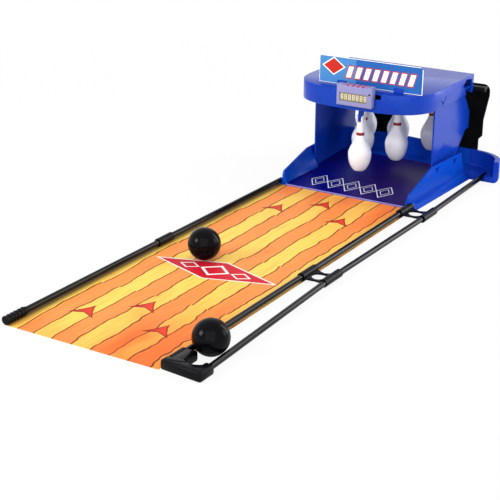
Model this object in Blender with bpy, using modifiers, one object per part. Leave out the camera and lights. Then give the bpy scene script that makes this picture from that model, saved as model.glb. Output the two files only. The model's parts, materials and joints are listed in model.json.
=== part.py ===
"""Tabletop bowling game: a printed lane mat between two rails, a ball return beside the lane and a
pinsetter house whose pins hang on hinges over a ramped deck.

The frame: +X points to the ball return, +Y from the player to the pins and +Z up. The origin lies on
the table, under the middle of the deck's flat front sill. All sizes are in metres and all angles in
degrees.
"""
import math

import bmesh
import bpy
from mathutils import Matrix, Vector

GAME = "tabletop_bowling_game"

# Fits and moulding
TOUCH_GAP = 0.0003
OVERRUN = 0.010
MERGE = 0.00001
ROUND_SIDES = 16
SMALL_SIDES = 10
SHARP_ANGLE = 35.0

# Plan of the deck, which the mat, the rails, the tray and the house follow
DECK_HALF_WIDTH = 0.1155
RAMP_LENGTH = 0.203
TROUGH_LENGTH = 0.0433

# Lane mat
LANE_LENGTH = 0.675
LANE_SIDE_MARGIN = 0.0075
LANE_HALF_WIDTH = DECK_HALF_WIDTH + LANE_SIDE_MARGIN
MAT_THICKNESS = 0.0006
MAT_NOTCH_CLEARANCE = 0.0012

# Balls
BALL_RADIUS = 0.0235
PLAYED_BALL_X = -0.0353
PLAYED_BALL_FROM_FRONT = -0.355
RETURNED_BALL_FROM_FRONT = -0.610
RETURNED_BALL_SPREAD = 0.0230
BALL_SEGMENTS = 24
BALL_RINGS = 14

# Rails
RAIL_RADIUS = 0.00425
RAIL_STANDOFF = 0.0047
RAIL_CENTRE_X = DECK_HALF_WIDTH + RAIL_STANDOFF
SLEEVE_RADIUS = 0.0060
SLEEVE_CHAMFER = 0.0008
RAIL_CENTRE_Z = MAT_THICKNESS + TOUCH_GAP + SLEEVE_RADIUS
RAIL_JOINT_FROM_FRONT = -0.3325
COUPLER_LENGTH = 0.036
SPIGOT_RADIUS = 0.0026
SPIGOT_LENGTH = 0.014
RIBBED_SLEEVE_LENGTH = 0.040
RIBBED_SLEEVE_CORE = 0.0050
RIB_RADIUS = 0.0061
RIB_PITCH = 0.0066
RIB_WIDTH = 0.0034
RIB_COUNT = 6
RIB_CHAMFER = 0.0009
RIBBED_SLEEVE_BORE_DEPTH = 0.031

# Outer return rail, which spreads towards the player and towards the far spacer
OUTER_FRONT_SPREAD = 0.0478
OUTER_NEAR_SPREAD = 0.0363
OUTER_FAR_SPREAD = 0.0398
OUTER_TRAY_SPREAD = 0.0360
OUTER_TRAY_OVERLAP = 0.0130
OUTER_FRONT_X = RAIL_CENTRE_X + OUTER_FRONT_SPREAD
OUTER_TUBE_END_GAP = 0.0006

# Spacers between the two return rails
NEAR_SPACER_FROM_FRONT = -0.334
FAR_SPACER_FROM_FRONT = -0.027
INNER_CLAMP_LENGTH = 0.039
OUTER_CLAMP_LENGTH = 0.046
SPACER_WEB_LENGTH = 0.040
SPACER_WEB_THICKNESS = 0.0024
SPACER_WEB_SAG = 0.0028
SPACER_WEB_WAIST_SHARE = 0.72
SPACER_WINDOW_LENGTH_SHARE = 0.56
SPACER_WINDOW_WIDTH_SHARE = 0.60
SAG_STEPS = 8
WINDOW_STEPS = 16

# End stop at the player's end of the return
STOP_FRONT_FROM_FRONT = -0.677
STOP_FRONT_SLANT = 0.0060
STOP_BAR_DEPTH = 0.0200
STOP_HEIGHT = 0.0132
STOP_ARM_HALF_WIDTH = 0.0065
STOP_SHELF_WIDTH = 0.0185
STOP_INNER_ARM_LENGTH = 0.0470
STOP_OUTER_ARM_LENGTH = 0.0270
STOP_ROUNDING = 0.0030
STOP_CURVE_DEPTH = 0.0050
STOP_SOCKET_SHARE = 0.60
STOP_RIB_COUNT = 5
STOP_RIB_RADIUS = 0.0068
STOP_RIB_LENGTH_SHARE = 0.13

# Deck tub
SILL_DEPTH = 0.014
DECK_FRONT_Y = -SILL_DEPTH / 2
SILL_HEIGHT = 0.0026
RAMP_RISE = 0.0112
FLOOR_THICKNESS = 0.0026
FIN_THICKNESS = 0.0022
FIN_FRONT_HEIGHT = 0.0250
FIN_LOBE_RADIUS = 0.0080
FIN_LOBE_STEPS = 4
LEFT_FIN_PEAK_FROM_FRONT = 0.085
LEFT_FIN_PEAK_HEIGHT = 0.0424
RIGHT_FIN_PEAK_FROM_FRONT = 0.0765
RIGHT_FIN_PEAK_HEIGHT = 0.0490
RIGHT_FIN_REAR_SETBACK = 0.0153
RIGHT_FIN_REAR_HEIGHT = 0.0466
RIGHT_FIN_WAIST_SETBACK = 0.0090
RIGHT_FIN_WAIST_HEIGHT = 0.0269
FIN_FLARE = 0.0070
SLOPE_FRONT_WIDTH = 0.0080
SLOPE_REAR_WIDTH = 0.0150
SKIRT_ROOT = 0.0010
SKIRT_FRONT_HEIGHT = 0.0060
SKIRT_FRONT_LEDGE = 0.0067
SKIRT_FRONT_REACH = 0.0128
SKIRT_REAR_HEIGHT = 0.0100
SKIRT_REAR_LEDGE = 0.0010
SKIRT_REAR_REACH = 0.0134
SPIGOT_BOSS_LENGTH = 0.0050
TUB_RIM_HEIGHT = 0.0424
BACK_WALL_FROM_FRONT = RAMP_LENGTH + TROUGH_LENGTH
BACK_WALL_THICKNESS = 0.0028
TROUGH_FLOOR_HEIGHT = 0.0096
TROUGH_FLOOR_DROP = 0.0020
CLIP_SLOT_FROM_FRONTS = (0.0966, 0.1630)
CLIP_SLOT_WIDTH = 0.0150
CLIP_SLOT_HEIGHT = 0.0105
CLIP_SLOT_DROP = 0.0045

# Return tray
TRAY_HALF_AXIS_X = 0.0685
TRAY_HALF_AXIS_Y = 0.0590
TRAY_CORNER_REACH = 0.0025
TRAY_CORNER_X = DECK_HALF_WIDTH + TRAY_CORNER_REACH
TRAY_CORNER_FROM_FRONT = BACK_WALL_FROM_FRONT + BACK_WALL_THICKNESS - TRAY_HALF_AXIS_Y
TRAY_FRONT_SETBACK = 0.0060
TRAY_FRONT_FROM_FRONT = RAMP_LENGTH - TRAY_FRONT_SETBACK
TRAY_RIM_HEIGHT = 0.0375
TRAY_WALL = 0.0045
TRAY_END_WALL = 0.0095
TRAY_FLOOR_HEIGHT = 0.0093
TRAY_BOWL_ROUNDING = 0.0120
TRAY_BOWL_SEGMENTS = 4
TRAY_BOWL_ANGLE = 60.0
TRAY_FOOT_ROUNDING = 0.0090
TRAY_FOOT_SEGMENTS = 4
TRAY_POWER = 2.15
TRAY_ARC_STEPS = 14

# House side walls
HOUSE_WALL_INSET = 0.0062
HOUSE_WALL_X = DECK_HALF_WIDTH - HOUSE_WALL_INSET
HOUSE_WALL_THICKNESS = 0.0026
HOUSE_WALL_FRONT_FROM_FRONT = 0.0968
HOUSE_WALL_REAR_FROM_FRONT = BACK_WALL_FROM_FRONT - BACK_WALL_THICKNESS - TOUCH_GAP
HOUSE_WALL_SHOULDER_TOP = 0.1360
HOUSE_WALL_SHOULDER_HEIGHT = 0.1040
HOUSE_WALL_SHOULDER_CUT = 0.0240
HOUSE_WALL_NOTCH_STEP = 0.0130
HOUSE_WALL_NOTCH_HEIGHT = 0.0755
HOUSE_WALL_NOTCH_FOOT = 0.0490
HOUSE_WALL_NOTCH_DEPTH = 0.0425
HOUSE_WALL_PASS_HEIGHT = 0.0400
HOUSE_WALL_PASS_DEPTH = 0.0484
CLIP_TAB_WIDTH = 0.0030
CLIP_TAB_HEIGHT = 0.0035
CLIP_TAB_OFFSET = 0.0022
CLIP_TAB_DROP = 0.0010
CLIP_TAB_SHY = 0.0006

# Hood
HOOD_SIDE_REACH = 0.0076
HOOD_HALF_WIDTH = HOUSE_WALL_X + HOOD_SIDE_REACH
HOOD_BOTTOM = 0.1412
HOOD_TOP = 0.1717
HOOD_FRONT_FROM_FRONT = 0.0167
HOOD_BOW_DEPTH = 0.0877
HOOD_REAR_SETBACK = 0.0127
HOOD_REAR_FROM_FRONT = BACK_WALL_FROM_FRONT - HOOD_REAR_SETBACK
HOOD_POWER = 3.0
HOOD_BOW_STEPS = 18
HOOD_WALL = 0.0026
HOOD_EDGE_ROUNDING = 0.0010
HOOD_CLIP_BARS = (((0.1015, 0.1530), (0.1100, 0.1478)), ((0.1210, 0.1572), (0.1060, 0.1430)))
HOOD_CLIP_STROKE = 0.0020
HOOD_NOTCH_SETBACK = 0.0316
HOOD_NOTCH_FROM_FRONT = HOOD_REAR_FROM_FRONT - HOOD_NOTCH_SETBACK
HOOD_NOTCH_DEPTH = 0.0240
HOOD_NOTCH_HEIGHT = 0.0270
HOOD_NOTCH_SLANT = 0.0110
HOOD_NOTCH_KNEE_SHARE = 0.70
HOOD_NOTCH_REAR_SHARE = 0.86

# Pins, which hang in three rows over the deck
PIN_ROW_FROM_FRONTS = (0.0514, 0.1240, 0.1966)
PIN_ROW_RISE = 0.0046
PIN_SPACING = 0.0624
PIN_BELLY_RADIUS = 0.01915
PIN_BELLY_DROP = 0.0590
PIN_BOTTOM_DROP = 0.0865
PIN_FOOT_RADIUS = 0.0088
PIN_NECK_RADIUS = 0.0066
PIN_NECK_DROP = 0.0240
PIN_SHOULDER_DROP = 0.0110
PIN_SHOULDER_RADIUS = 0.0062
PIN_AXLE_HEIGHT = 0.1186
PIN_CHEEK_RADIUS = 0.0060
PIN_CHEEK_THICKNESS = 0.0022
PIN_FORK_GAP = 0.0068
PIN_SLOT_DROP = 0.0052
PIN_PROFILE_STEPS = 10
PIN_SIDES = 20
AXLE_RADIUS = 0.0014

# Carrier under the hood that the pins hang from
CARRIER_THICKNESS = 0.0026
CARRIER_BOTTOM = 0.1500
TAB_WIDTH = 0.0058
TAB_DEPTH = 0.0084
TAB_COLLAR_WIDTH = 0.0125
TAB_COLLAR_DEPTH = 0.0110
TAB_COLLAR_DROP = 0.0120

# Score counter on the front of the hood
COUNTER_LEFT_X = -0.0240
COUNTER_RIGHT_X = 0.0380
COUNTER_FRONT_FROM_FRONT = 0.0090
COUNTER_BOTTOM = 0.1486
COUNTER_TOP = 0.1822
COUNTER_DEPTH = 0.0135
COUNTER_WALL = 0.0018
COUNTER_EDGE_ROUNDING = 0.0008
COUNTER_SIDE_POCKET_WIDTH = 0.0115
COUNTER_SIDE_POCKET_BOTTOM = 0.1630
WINDOW_LEFT_X = -0.0188
WINDOW_RIGHT_X = 0.0294
WINDOW_BOTTOM = 0.1556
WINDOW_TOP = 0.1692
WINDOW_RECESS = 0.0006
WINDOW_MARGIN = 0.0020
DISPLAY_THICKNESS = 0.0024
BOARD_THICKNESS = 0.0016
BUTTON_RADIUS = 0.0012
BUTTON_X = 0.0342
BUTTON_Z = 0.1710
BUTTON_PROUD = 0.0011
BUTTON_TRAVEL = 0.0008
CELL_RADIUS = 0.0100
CELL_THICKNESS = 0.0032

# Sign card and the clips that hold it on the hood
SIGN_LEFT_X = -0.0720
SIGN_RIGHT_X = 0.1100
SIGN_FROM_FRONT = 0.0400
SIGN_HEIGHT = 0.0440
SIGN_THICKNESS = 0.0012
SIGN_CORNER_RADIUS = 0.0060
SIGN_CORNER_STEPS = 5
SIGN_CLIP_XS = (-0.0300, 0.0700)
SIGN_CLIP_WIDTH = 0.0160
SIGN_CLIP_HEIGHT = 0.0085
SIGN_CLIP_WALL = 0.0016

# Backstop behind the house
BACKSTOP_STANDOFF = 0.0037
BACKSTOP_FROM_FRONT = BACK_WALL_FROM_FRONT + BACKSTOP_STANDOFF
BACKSTOP_BAR_HEIGHT = 0.0080
BACKSTOP_BAR_TOP = 0.1500
BACKSTOP_LEFT_INSET = 0.0205
BACKSTOP_RIGHT_REACH = 0.0245
BACKSTOP_LEFT_FLAP_X = BACKSTOP_LEFT_INSET - DECK_HALF_WIDTH
BACKSTOP_RIGHT_FLAP_X = DECK_HALF_WIDTH + BACKSTOP_RIGHT_REACH
BACKSTOP_BAR_INSET = 0.0030
BACKSTOP_BAR_LEFT_X = BACKSTOP_LEFT_FLAP_X + BACKSTOP_BAR_INSET
BACKSTOP_BAR_RIGHT_X = BACKSTOP_RIGHT_FLAP_X - BACKSTOP_BAR_INSET
BACKSTOP_FLAP_WIDTH = 0.0700
BACKSTOP_FLAP_THICKNESS = 0.0030
BACKSTOP_FLAP_TOP = 0.1520
BACKSTOP_FLAP_SHOULDER_HEIGHT = 0.1330
BACKSTOP_FLAP_WAIST_HEIGHT = 0.0900
BACKSTOP_FLAP_STEP_HEIGHT = 0.0620
BACKSTOP_FLAP_BOTTOM = 0.0350
BACKSTOP_FLAP_TAPER = 0.0080
BACKSTOP_FLAP_STEP_IN = 0.0065
BACKSTOP_FLAP_CORNER = 0.0110


def from_front(distance):
    """Y of a place that is measured back from the deck's front edge."""
    return DECK_FRONT_Y + distance


def make_collection(name):
    """A new collection under the scene's own."""
    collection = bpy.data.collections.new(name)
    bpy.context.scene.collection.children.link(collection)
    return collection


for old_object in list(bpy.data.objects):
    bpy.data.objects.remove(old_object, do_unlink=True)
PARTS = make_collection(GAME)
CUTTERS = make_collection("cutters")


def make_material(name, colour, roughness, metallic=0.0):
    """A Principled material of one colour."""
    material = bpy.data.materials.new(name)
    material.use_nodes = True
    shader = material.node_tree.nodes["Principled BSDF"]
    shader.inputs["Base Color"].default_value = (*colour, 1.0)
    shader.inputs["Roughness"].default_value = roughness
    shader.inputs["Metallic"].default_value = metallic
    return material


BLUE = make_material("royal_blue_plastic", (0.01, 0.06, 0.45), 0.35)
BLACK = make_material("black_plastic", (0.01, 0.01, 0.01), 0.35)
TUBE_BLACK = make_material("black_coated_steel", (0.01, 0.01, 0.01), 0.2, 0.3)
RUBBER = make_material("black_rubber", (0.015, 0.012, 0.012), 0.6)
MAT_PRINT = make_material("printed_vinyl", (0.9, 0.5, 0.2), 0.5)
PIN_WHITE = make_material("white_plastic", (0.9, 0.9, 0.9), 0.3)
STEEL = make_material("steel_wire", (0.6, 0.6, 0.6), 0.3, 1.0)
BALL_BLACK = make_material("black_ball_resin", (0.01, 0.008, 0.01), 0.1)
GREY = make_material("lavender_grey_plastic", (0.35, 0.35, 0.6), 0.4)
CLEAR = make_material("clear_lens", (0.8, 0.8, 0.7), 0.05)
OLIVE = make_material("display_face", (0.2, 0.2, 0.05), 0.4)
BOARD_GREEN = make_material("circuit_board", (0.02, 0.2, 0.05), 0.5)
CARD = make_material("printed_card", (0.05, 0.35, 0.75), 0.4)


def take_in(mesh_object, material, is_cutter=False):
    """Puts an object among the parts with its material, or among the hidden cutters."""
    for collection in list(mesh_object.users_collection):
        collection.objects.unlink(mesh_object)
    if is_cutter:
        CUTTERS.objects.link(mesh_object)
        mesh_object.hide_render = True
        mesh_object.display_type = "WIRE"
        return mesh_object
    PARTS.objects.link(mesh_object)
    if material is not None:
        mesh_object.data.materials.append(material)
    return mesh_object


def from_bmesh(name, shape, material=None):
    """A new object from a bmesh; without a material it is a cutter."""
    bmesh.ops.recalc_face_normals(shape, faces=shape.faces)
    mesh = bpy.data.meshes.new(name)
    shape.to_mesh(mesh)
    shape.free()
    mesh_object = bpy.data.objects.new(name, mesh)
    bpy.context.scene.collection.objects.link(mesh_object)
    return take_in(mesh_object, material, is_cutter=material is None)


def smooth(mesh_object):
    """Shades a round piece smooth, with its real edges left sharp."""
    mesh_object.data.shade_smooth()
    mesh_object.data.set_sharp_from_angle(angle=math.radians(SHARP_ANGLE))
    return mesh_object


def make_box(name, low, high, material=None):
    """A box between two corners."""
    shape = bmesh.new()
    bmesh.ops.create_cube(shape, size=1.0)
    size = Vector(high) - Vector(low)
    middle = (Vector(high) + Vector(low)) / 2
    bmesh.ops.scale(shape, vec=size, verts=shape.verts)
    bmesh.ops.translate(shape, vec=middle, verts=shape.verts)
    return from_bmesh(name, shape, material)


def along(start, end):
    """The turn that brings +Z onto the line from start to end, and the place of the line's middle."""
    start, end = Vector(start), Vector(end)
    turn = (end - start).to_track_quat("Z", "Y").to_matrix().to_4x4()
    return Matrix.Translation((start + end) / 2) @ turn


def make_rod(name, radius, start, end, material=None, sides=ROUND_SIDES, end_radius=None):
    """A round bar, or a cone where end_radius is given, from one point to another."""
    shape = bmesh.new()
    length = (Vector(end) - Vector(start)).length
    bmesh.ops.create_cone(
        shape,
        cap_ends=True,
        segments=sides,
        radius1=radius,
        radius2=radius if end_radius is None else end_radius,
        depth=length,
        matrix=along(start, end),
    )
    return smooth(from_bmesh(name, shape, material))


def make_sphere(name, radius, material=None):
    """A ball round the origin."""
    shape = bmesh.new()
    bmesh.ops.create_uvsphere(shape, u_segments=BALL_SEGMENTS, v_segments=BALL_RINGS, radius=radius)
    return smooth(from_bmesh(name, shape, material))


def make_turned(name, profile, place, material=None, sides=ROUND_SIDES):
    """A solid turned about Z from (radius, height) points that run top to bottom, then set in place."""
    mesh = bpy.data.meshes.new(name)
    points = [(radius, 0.0, height) for radius, height in profile]
    mesh.from_pydata(points, [(i, i + 1) for i in range(len(points) - 1)], [])
    turned = bpy.data.objects.new(name, mesh)
    bpy.context.scene.collection.objects.link(turned)
    screw = turned.modifiers.new("turn", "SCREW")
    screw.steps = sides
    screw.render_steps = sides
    screw.use_merge_vertices = True
    screw.merge_threshold = MERGE
    screw.use_normal_calculate = True
    bpy.context.view_layer.update()
    solid = bpy.data.meshes.new_from_object(turned.evaluated_get(bpy.context.evaluated_depsgraph_get()))
    bpy.data.objects.remove(turned, do_unlink=True)
    bpy.data.meshes.remove(mesh)
    shape = bmesh.new()
    shape.from_mesh(solid)
    bpy.data.meshes.remove(solid)
    bmesh.ops.remove_doubles(shape, verts=shape.verts, dist=MERGE)
    bmesh.ops.transform(shape, matrix=place, verts=shape.verts)
    return smooth(from_bmesh(name, shape, material))


# Turns that lay a flat outline into a plane and its thickness along the axis that is left
IN_XY = Matrix.Identity(3)
IN_YZ = Matrix(((0, 0, 1), (1, 0, 0), (0, 1, 0)))
IN_XZ = Matrix(((1, 0, 0), (0, 0, -1), (0, 1, 0)))


def make_prism(name, outline, low, high, plane, material=None):
    """A flat outline given a thickness: a filled 2D curve, made a mesh.

    outline holds points in the plane; low and high are where the solid starts and ends along the
    axis that the plane leaves out.
    """
    curve = bpy.data.curves.new(name, "CURVE")
    curve.dimensions = "2D"
    curve.fill_mode = "BOTH"
    curve.extrude = (high - low) / 2
    spline = curve.splines.new("POLY")
    spline.points.add(len(outline) - 1)
    for point, (across, up) in zip(spline.points, outline):
        point.co = (across, up, 0.0, 1.0)
    spline.use_cyclic_u = True
    flat = bpy.data.objects.new(name, curve)
    bpy.context.scene.collection.objects.link(flat)
    bpy.context.view_layer.update()
    solid = bpy.data.meshes.new_from_object(flat.evaluated_get(bpy.context.evaluated_depsgraph_get()))
    bpy.data.objects.remove(flat, do_unlink=True)
    bpy.data.curves.remove(curve)
    shape = bmesh.new()
    shape.from_mesh(solid)
    bpy.data.meshes.remove(solid)
    bmesh.ops.remove_doubles(shape, verts=shape.verts, dist=MERGE)
    axis = plane @ Vector((0, 0, 1))
    place = Matrix.Translation(Vector(map(abs, axis)) * ((low + high) / 2)) @ plane.to_4x4()
    bmesh.ops.transform(shape, matrix=place, verts=shape.verts)
    return from_bmesh(name, shape, material)


def make_hull(name, points, material=None):
    """The convex solid round a few corner points."""
    shape = bmesh.new()
    for point in points:
        shape.verts.new(point)
    hull = bmesh.ops.convex_hull(shape, input=shape.verts)
    bmesh.ops.delete(shape, geom=hull["geom_interior"], context="VERTS")
    return from_bmesh(name, shape, material)


def combine(part, tool, operation):
    """A live exact Boolean of a part with a hidden tool."""
    step = part.modifiers.new(operation.lower() + "_" + tool.name, "BOOLEAN")
    step.operation = operation
    step.solver = "EXACT"
    step.object = tool
    return part


def cut(part, tool):
    """Takes the tool's space out of the part."""
    return combine(part, tool, "DIFFERENCE")


def join(part, tool):
    """Makes the tool one body with the part."""
    return combine(part, tool, "UNION")


def keep(part, tool):
    """Leaves only what the part and the tool share."""
    return combine(part, tool, "INTERSECT")


def round_edges(part, width, segments=2, angle=SHARP_ANGLE):
    """A live Bevel on the part's sharp edges."""
    bevel = part.modifiers.new("rounding", "BEVEL")
    bevel.width = width
    bevel.segments = segments
    bevel.limit_method = "ANGLE"
    bevel.angle_limit = math.radians(angle)
    bevel.use_clamp_overlap = True
    return part


def superellipse_quarter(half_x, half_y, power, steps):
    """Points of a quarter round from (half_x, 0) to (0, half_y)."""
    points = []
    for step in range(steps + 1):
        angle = math.radians(90.0 * step / steps)
        across = half_x * math.cos(angle) ** (2.0 / power)
        up = half_y * math.sin(angle) ** (2.0 / power)
        points.append((across, up))
    return points


def arc(centre, radius, first, last, steps):
    """Points of a round corner, with its angles in degrees."""
    points = []
    for step in range(steps + 1):
        angle = math.radians(first + (last - first) * step / steps)
        points.append((centre[0] + radius * math.cos(angle), centre[1] + radius * math.sin(angle)))
    return points


# Lane and rails


def outer_rail_points():
    """The outer return rail's bends: at the end stop, both spacers and the tray."""
    stop_y = from_front(STOP_FRONT_FROM_FRONT) + STOP_OUTER_ARM_LENGTH * (1 - STOP_SOCKET_SHARE)
    z = RAIL_CENTRE_Z
    return (
        Vector((OUTER_FRONT_X, stop_y, z)),
        Vector((RAIL_CENTRE_X + OUTER_NEAR_SPREAD, from_front(NEAR_SPACER_FROM_FRONT), z)),
        Vector((RAIL_CENTRE_X + OUTER_FAR_SPREAD, from_front(FAR_SPACER_FROM_FRONT), z)),
        Vector((RAIL_CENTRE_X + OUTER_TRAY_SPREAD, from_front(RAMP_LENGTH + OUTER_TRAY_OVERLAP), z)),
    )


def returned_ball_place():
    """Centre of the ball that lies against the end stop, on the table between the rails."""
    x = RAIL_CENTRE_X + RETURNED_BALL_SPREAD
    return Vector((x, from_front(RETURNED_BALL_FROM_FRONT), BALL_RADIUS + TOUCH_GAP))


def make_lane_mat():
    """The printed mat, with a corner notched round the end stop's inner arm."""
    rear = DECK_FRONT_Y - TOUCH_GAP
    front = rear - LANE_LENGTH
    notch_x = RAIL_CENTRE_X - STOP_RIB_RADIUS - MAT_NOTCH_CLEARANCE
    notch_y = from_front(STOP_FRONT_FROM_FRONT) + STOP_INNER_ARM_LENGTH + MAT_NOTCH_CLEARANCE
    outline = [
        (-LANE_HALF_WIDTH, front),
        (notch_x, front),
        (notch_x, notch_y),
        (LANE_HALF_WIDTH, notch_y),
        (LANE_HALF_WIDTH, rear),
        (-LANE_HALF_WIDTH, rear),
    ]
    make_prism("lane_mat", outline, 0.0, MAT_THICKNESS, IN_XY, MAT_PRINT)


def make_straight_rails():
    """The two rails beside the lane, each of two tubes that meet under a sleeve and end on a deck spigot."""
    joint = from_front(RAIL_JOINT_FROM_FRONT)
    rear = DECK_FRONT_Y - TOUCH_GAP
    left_front = from_front(STOP_FRONT_FROM_FRONT) + RIBBED_SLEEVE_LENGTH - RIBBED_SLEEVE_BORE_DEPTH
    inner_front = from_front(STOP_FRONT_FROM_FRONT) + STOP_INNER_ARM_LENGTH * (1 - STOP_SOCKET_SHARE)
    for side, x, front in (("left", -RAIL_CENTRE_X, left_front), ("inner", RAIL_CENTRE_X, inner_front)):
        make_rod(
            side + "_rail_front_tube",
            RAIL_RADIUS,
            (x, front + TOUCH_GAP, RAIL_CENTRE_Z),
            (x, joint - TOUCH_GAP / 2, RAIL_CENTRE_Z),
            TUBE_BLACK,
        )
        rear_tube = make_rod(
            side + "_rail_rear_tube",
            RAIL_RADIUS,
            (x, joint + TOUCH_GAP / 2, RAIL_CENTRE_Z),
            (x, rear, RAIL_CENTRE_Z),
            TUBE_BLACK,
        )
        bore_start = (x, DECK_FRONT_Y - SPIGOT_LENGTH - TOUCH_GAP, RAIL_CENTRE_Z)
        bore_end = (x, DECK_FRONT_Y + OVERRUN, RAIL_CENTRE_Z)
        bore = make_rod(side + "_spigot_bore", SPIGOT_RADIUS + TOUCH_GAP, bore_start, bore_end, sides=SMALL_SIDES)
        cut(rear_tube, bore)


def make_outer_rail():
    """The outer return rail: three tubes that meet inside the spacers' outer sleeves."""
    points = outer_rail_points()
    names = ("outer_rail_front_tube", "outer_rail_middle_tube", "outer_rail_rear_tube")
    for name, start, end in zip(names, points, points[1:]):
        run = (end - start).normalized()
        make_rod(name, RAIL_RADIUS, start + run * OUTER_TUBE_END_GAP, end - run * OUTER_TUBE_END_GAP, TUBE_BLACK)


def sleeve_profile(radius, bore, length, chamfer):
    """A plain sleeve's turned section, as (radius, height) from the top round to the top again."""
    half = length / 2
    return [
        (bore, half),
        (radius - chamfer, half),
        (radius, half - chamfer),
        (radius, -half + chamfer),
        (radius - chamfer, -half),
        (bore, -half),
        (bore, half),
    ]


def lay_along_y(x, y, z):
    """The place of a piece that was turned about Z and now lies along Y, its top to the rear."""
    return Matrix.Translation((x, y, z)) @ Matrix.Rotation(math.radians(-90.0), 4, "X")


def make_left_sleeves():
    """The left rail's coupler and its ribbed end sleeve."""
    bore = RAIL_RADIUS + TOUCH_GAP
    coupler = sleeve_profile(SLEEVE_RADIUS, bore, COUPLER_LENGTH, SLEEVE_CHAMFER)
    joint = from_front(RAIL_JOINT_FROM_FRONT)
    make_turned("left_rail_coupler", coupler, lay_along_y(-RAIL_CENTRE_X, joint, RAIL_CENTRE_Z), BLACK)

    length = RIBBED_SLEEVE_LENGTH
    profile = [(0.0, length - RIBBED_SLEEVE_BORE_DEPTH), (bore, length - RIBBED_SLEEVE_BORE_DEPTH)]
    profile.append((bore, length))
    profile.append((RIBBED_SLEEVE_CORE, length))
    for rib in reversed(range(RIB_COUNT)):
        middle = RIB_WIDTH / 2 + RIB_PITCH * rib
        profile.append((RIBBED_SLEEVE_CORE, middle + RIB_WIDTH / 2))
        profile.append((RIB_RADIUS, middle + RIB_WIDTH / 2 - RIB_CHAMFER))
        profile.append((RIB_RADIUS, middle - RIB_WIDTH / 2 + RIB_CHAMFER))
        profile.append((RIBBED_SLEEVE_CORE, middle - RIB_WIDTH / 2))
    profile.append((0.0, 0.0))
    place = lay_along_y(-RAIL_CENTRE_X, from_front(STOP_FRONT_FROM_FRONT), RAIL_CENTRE_Z)
    make_turned("left_rail_end_sleeve", profile, place, BLACK)


def make_spacer(name, distance, bends):
    """A spacer: a sleeve on each return rail, and between them a sagging web with a window."""
    y = from_front(distance)
    outer = bends[1]
    spread = outer.x - RAIL_CENTRE_X
    half = INNER_CLAMP_LENGTH / 2
    spacer = make_rod(
        name,
        SLEEVE_RADIUS,
        (RAIL_CENTRE_X, y - half, RAIL_CENTRE_Z),
        (RAIL_CENTRE_X, y + half, RAIL_CENTRE_Z),
        BLACK,
    )
    reach = Vector((0, OUTER_CLAMP_LENGTH / 2, 0))
    sleeve = make_rod(name + "_outer_sleeve", SLEEVE_RADIUS, outer - reach, outer + reach)

    # The web's plan narrows to a waist between the rails
    middle_x = RAIL_CENTRE_X + spread / 2
    half_web = SPACER_WEB_LENGTH / 2
    waist = half_web * SPACER_WEB_WAIST_SHARE
    plan = [
        (RAIL_CENTRE_X, y - half_web),
        (middle_x, y - waist),
        (outer.x, y - half_web),
        (outer.x, y + half_web),
        (middle_x, y + waist),
        (RAIL_CENTRE_X, y + half_web),
    ]
    web = make_prism(name + "_web", plan, -OVERRUN, RAIL_CENTRE_Z + OVERRUN, IN_XY)

    # Seen along the lane the web hangs in a shallow curve, so that a ball rolls over it
    top = []
    low = []
    for step in range(SAG_STEPS + 1):
        share = step / SAG_STEPS
        drop = SPACER_WEB_SAG * math.sin(math.pi * share)
        x = RAIL_CENTRE_X + spread * share
        top.append((x, RAIL_CENTRE_Z - drop + SPACER_WEB_THICKNESS / 2))
        low.append((x, RAIL_CENTRE_Z - drop - SPACER_WEB_THICKNESS / 2))
    sag = make_prism(name + "_sag", top + low[::-1], y - INNER_CLAMP_LENGTH, y + INNER_CLAMP_LENGTH, IN_XZ)
    keep(web, sag)

    half_x = spread / 2 * SPACER_WINDOW_WIDTH_SHARE
    half_y = half_web * SPACER_WINDOW_LENGTH_SHARE
    ring = []
    for step in range(WINDOW_STEPS):
        angle = math.tau * step / WINDOW_STEPS
        ring.append((middle_x + half_x * math.cos(angle), y + half_y * math.sin(angle)))
    cut(web, make_prism(name + "_window", ring, -OVERRUN, RAIL_CENTRE_Z + OVERRUN, IN_XY))

    join(spacer, web)
    join(spacer, sleeve)
    bore = RAIL_RADIUS + TOUCH_GAP
    run = Vector((0, INNER_CLAMP_LENGTH, 0))
    inner = Vector((RAIL_CENTRE_X, y, RAIL_CENTRE_Z))
    cut(spacer, make_rod(name + "_inner_bore", bore, inner - run, inner + run))
    for index, other in enumerate((bends[0], bends[2])):
        toward = (other - outer).normalized()
        tool = make_rod(
            name + "_outer_bore_" + str(index),
            bore,
            outer - toward * OUTER_TUBE_END_GAP,
            outer + toward * OUTER_CLAMP_LENGTH,
        )
        cut(spacer, tool)


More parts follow.
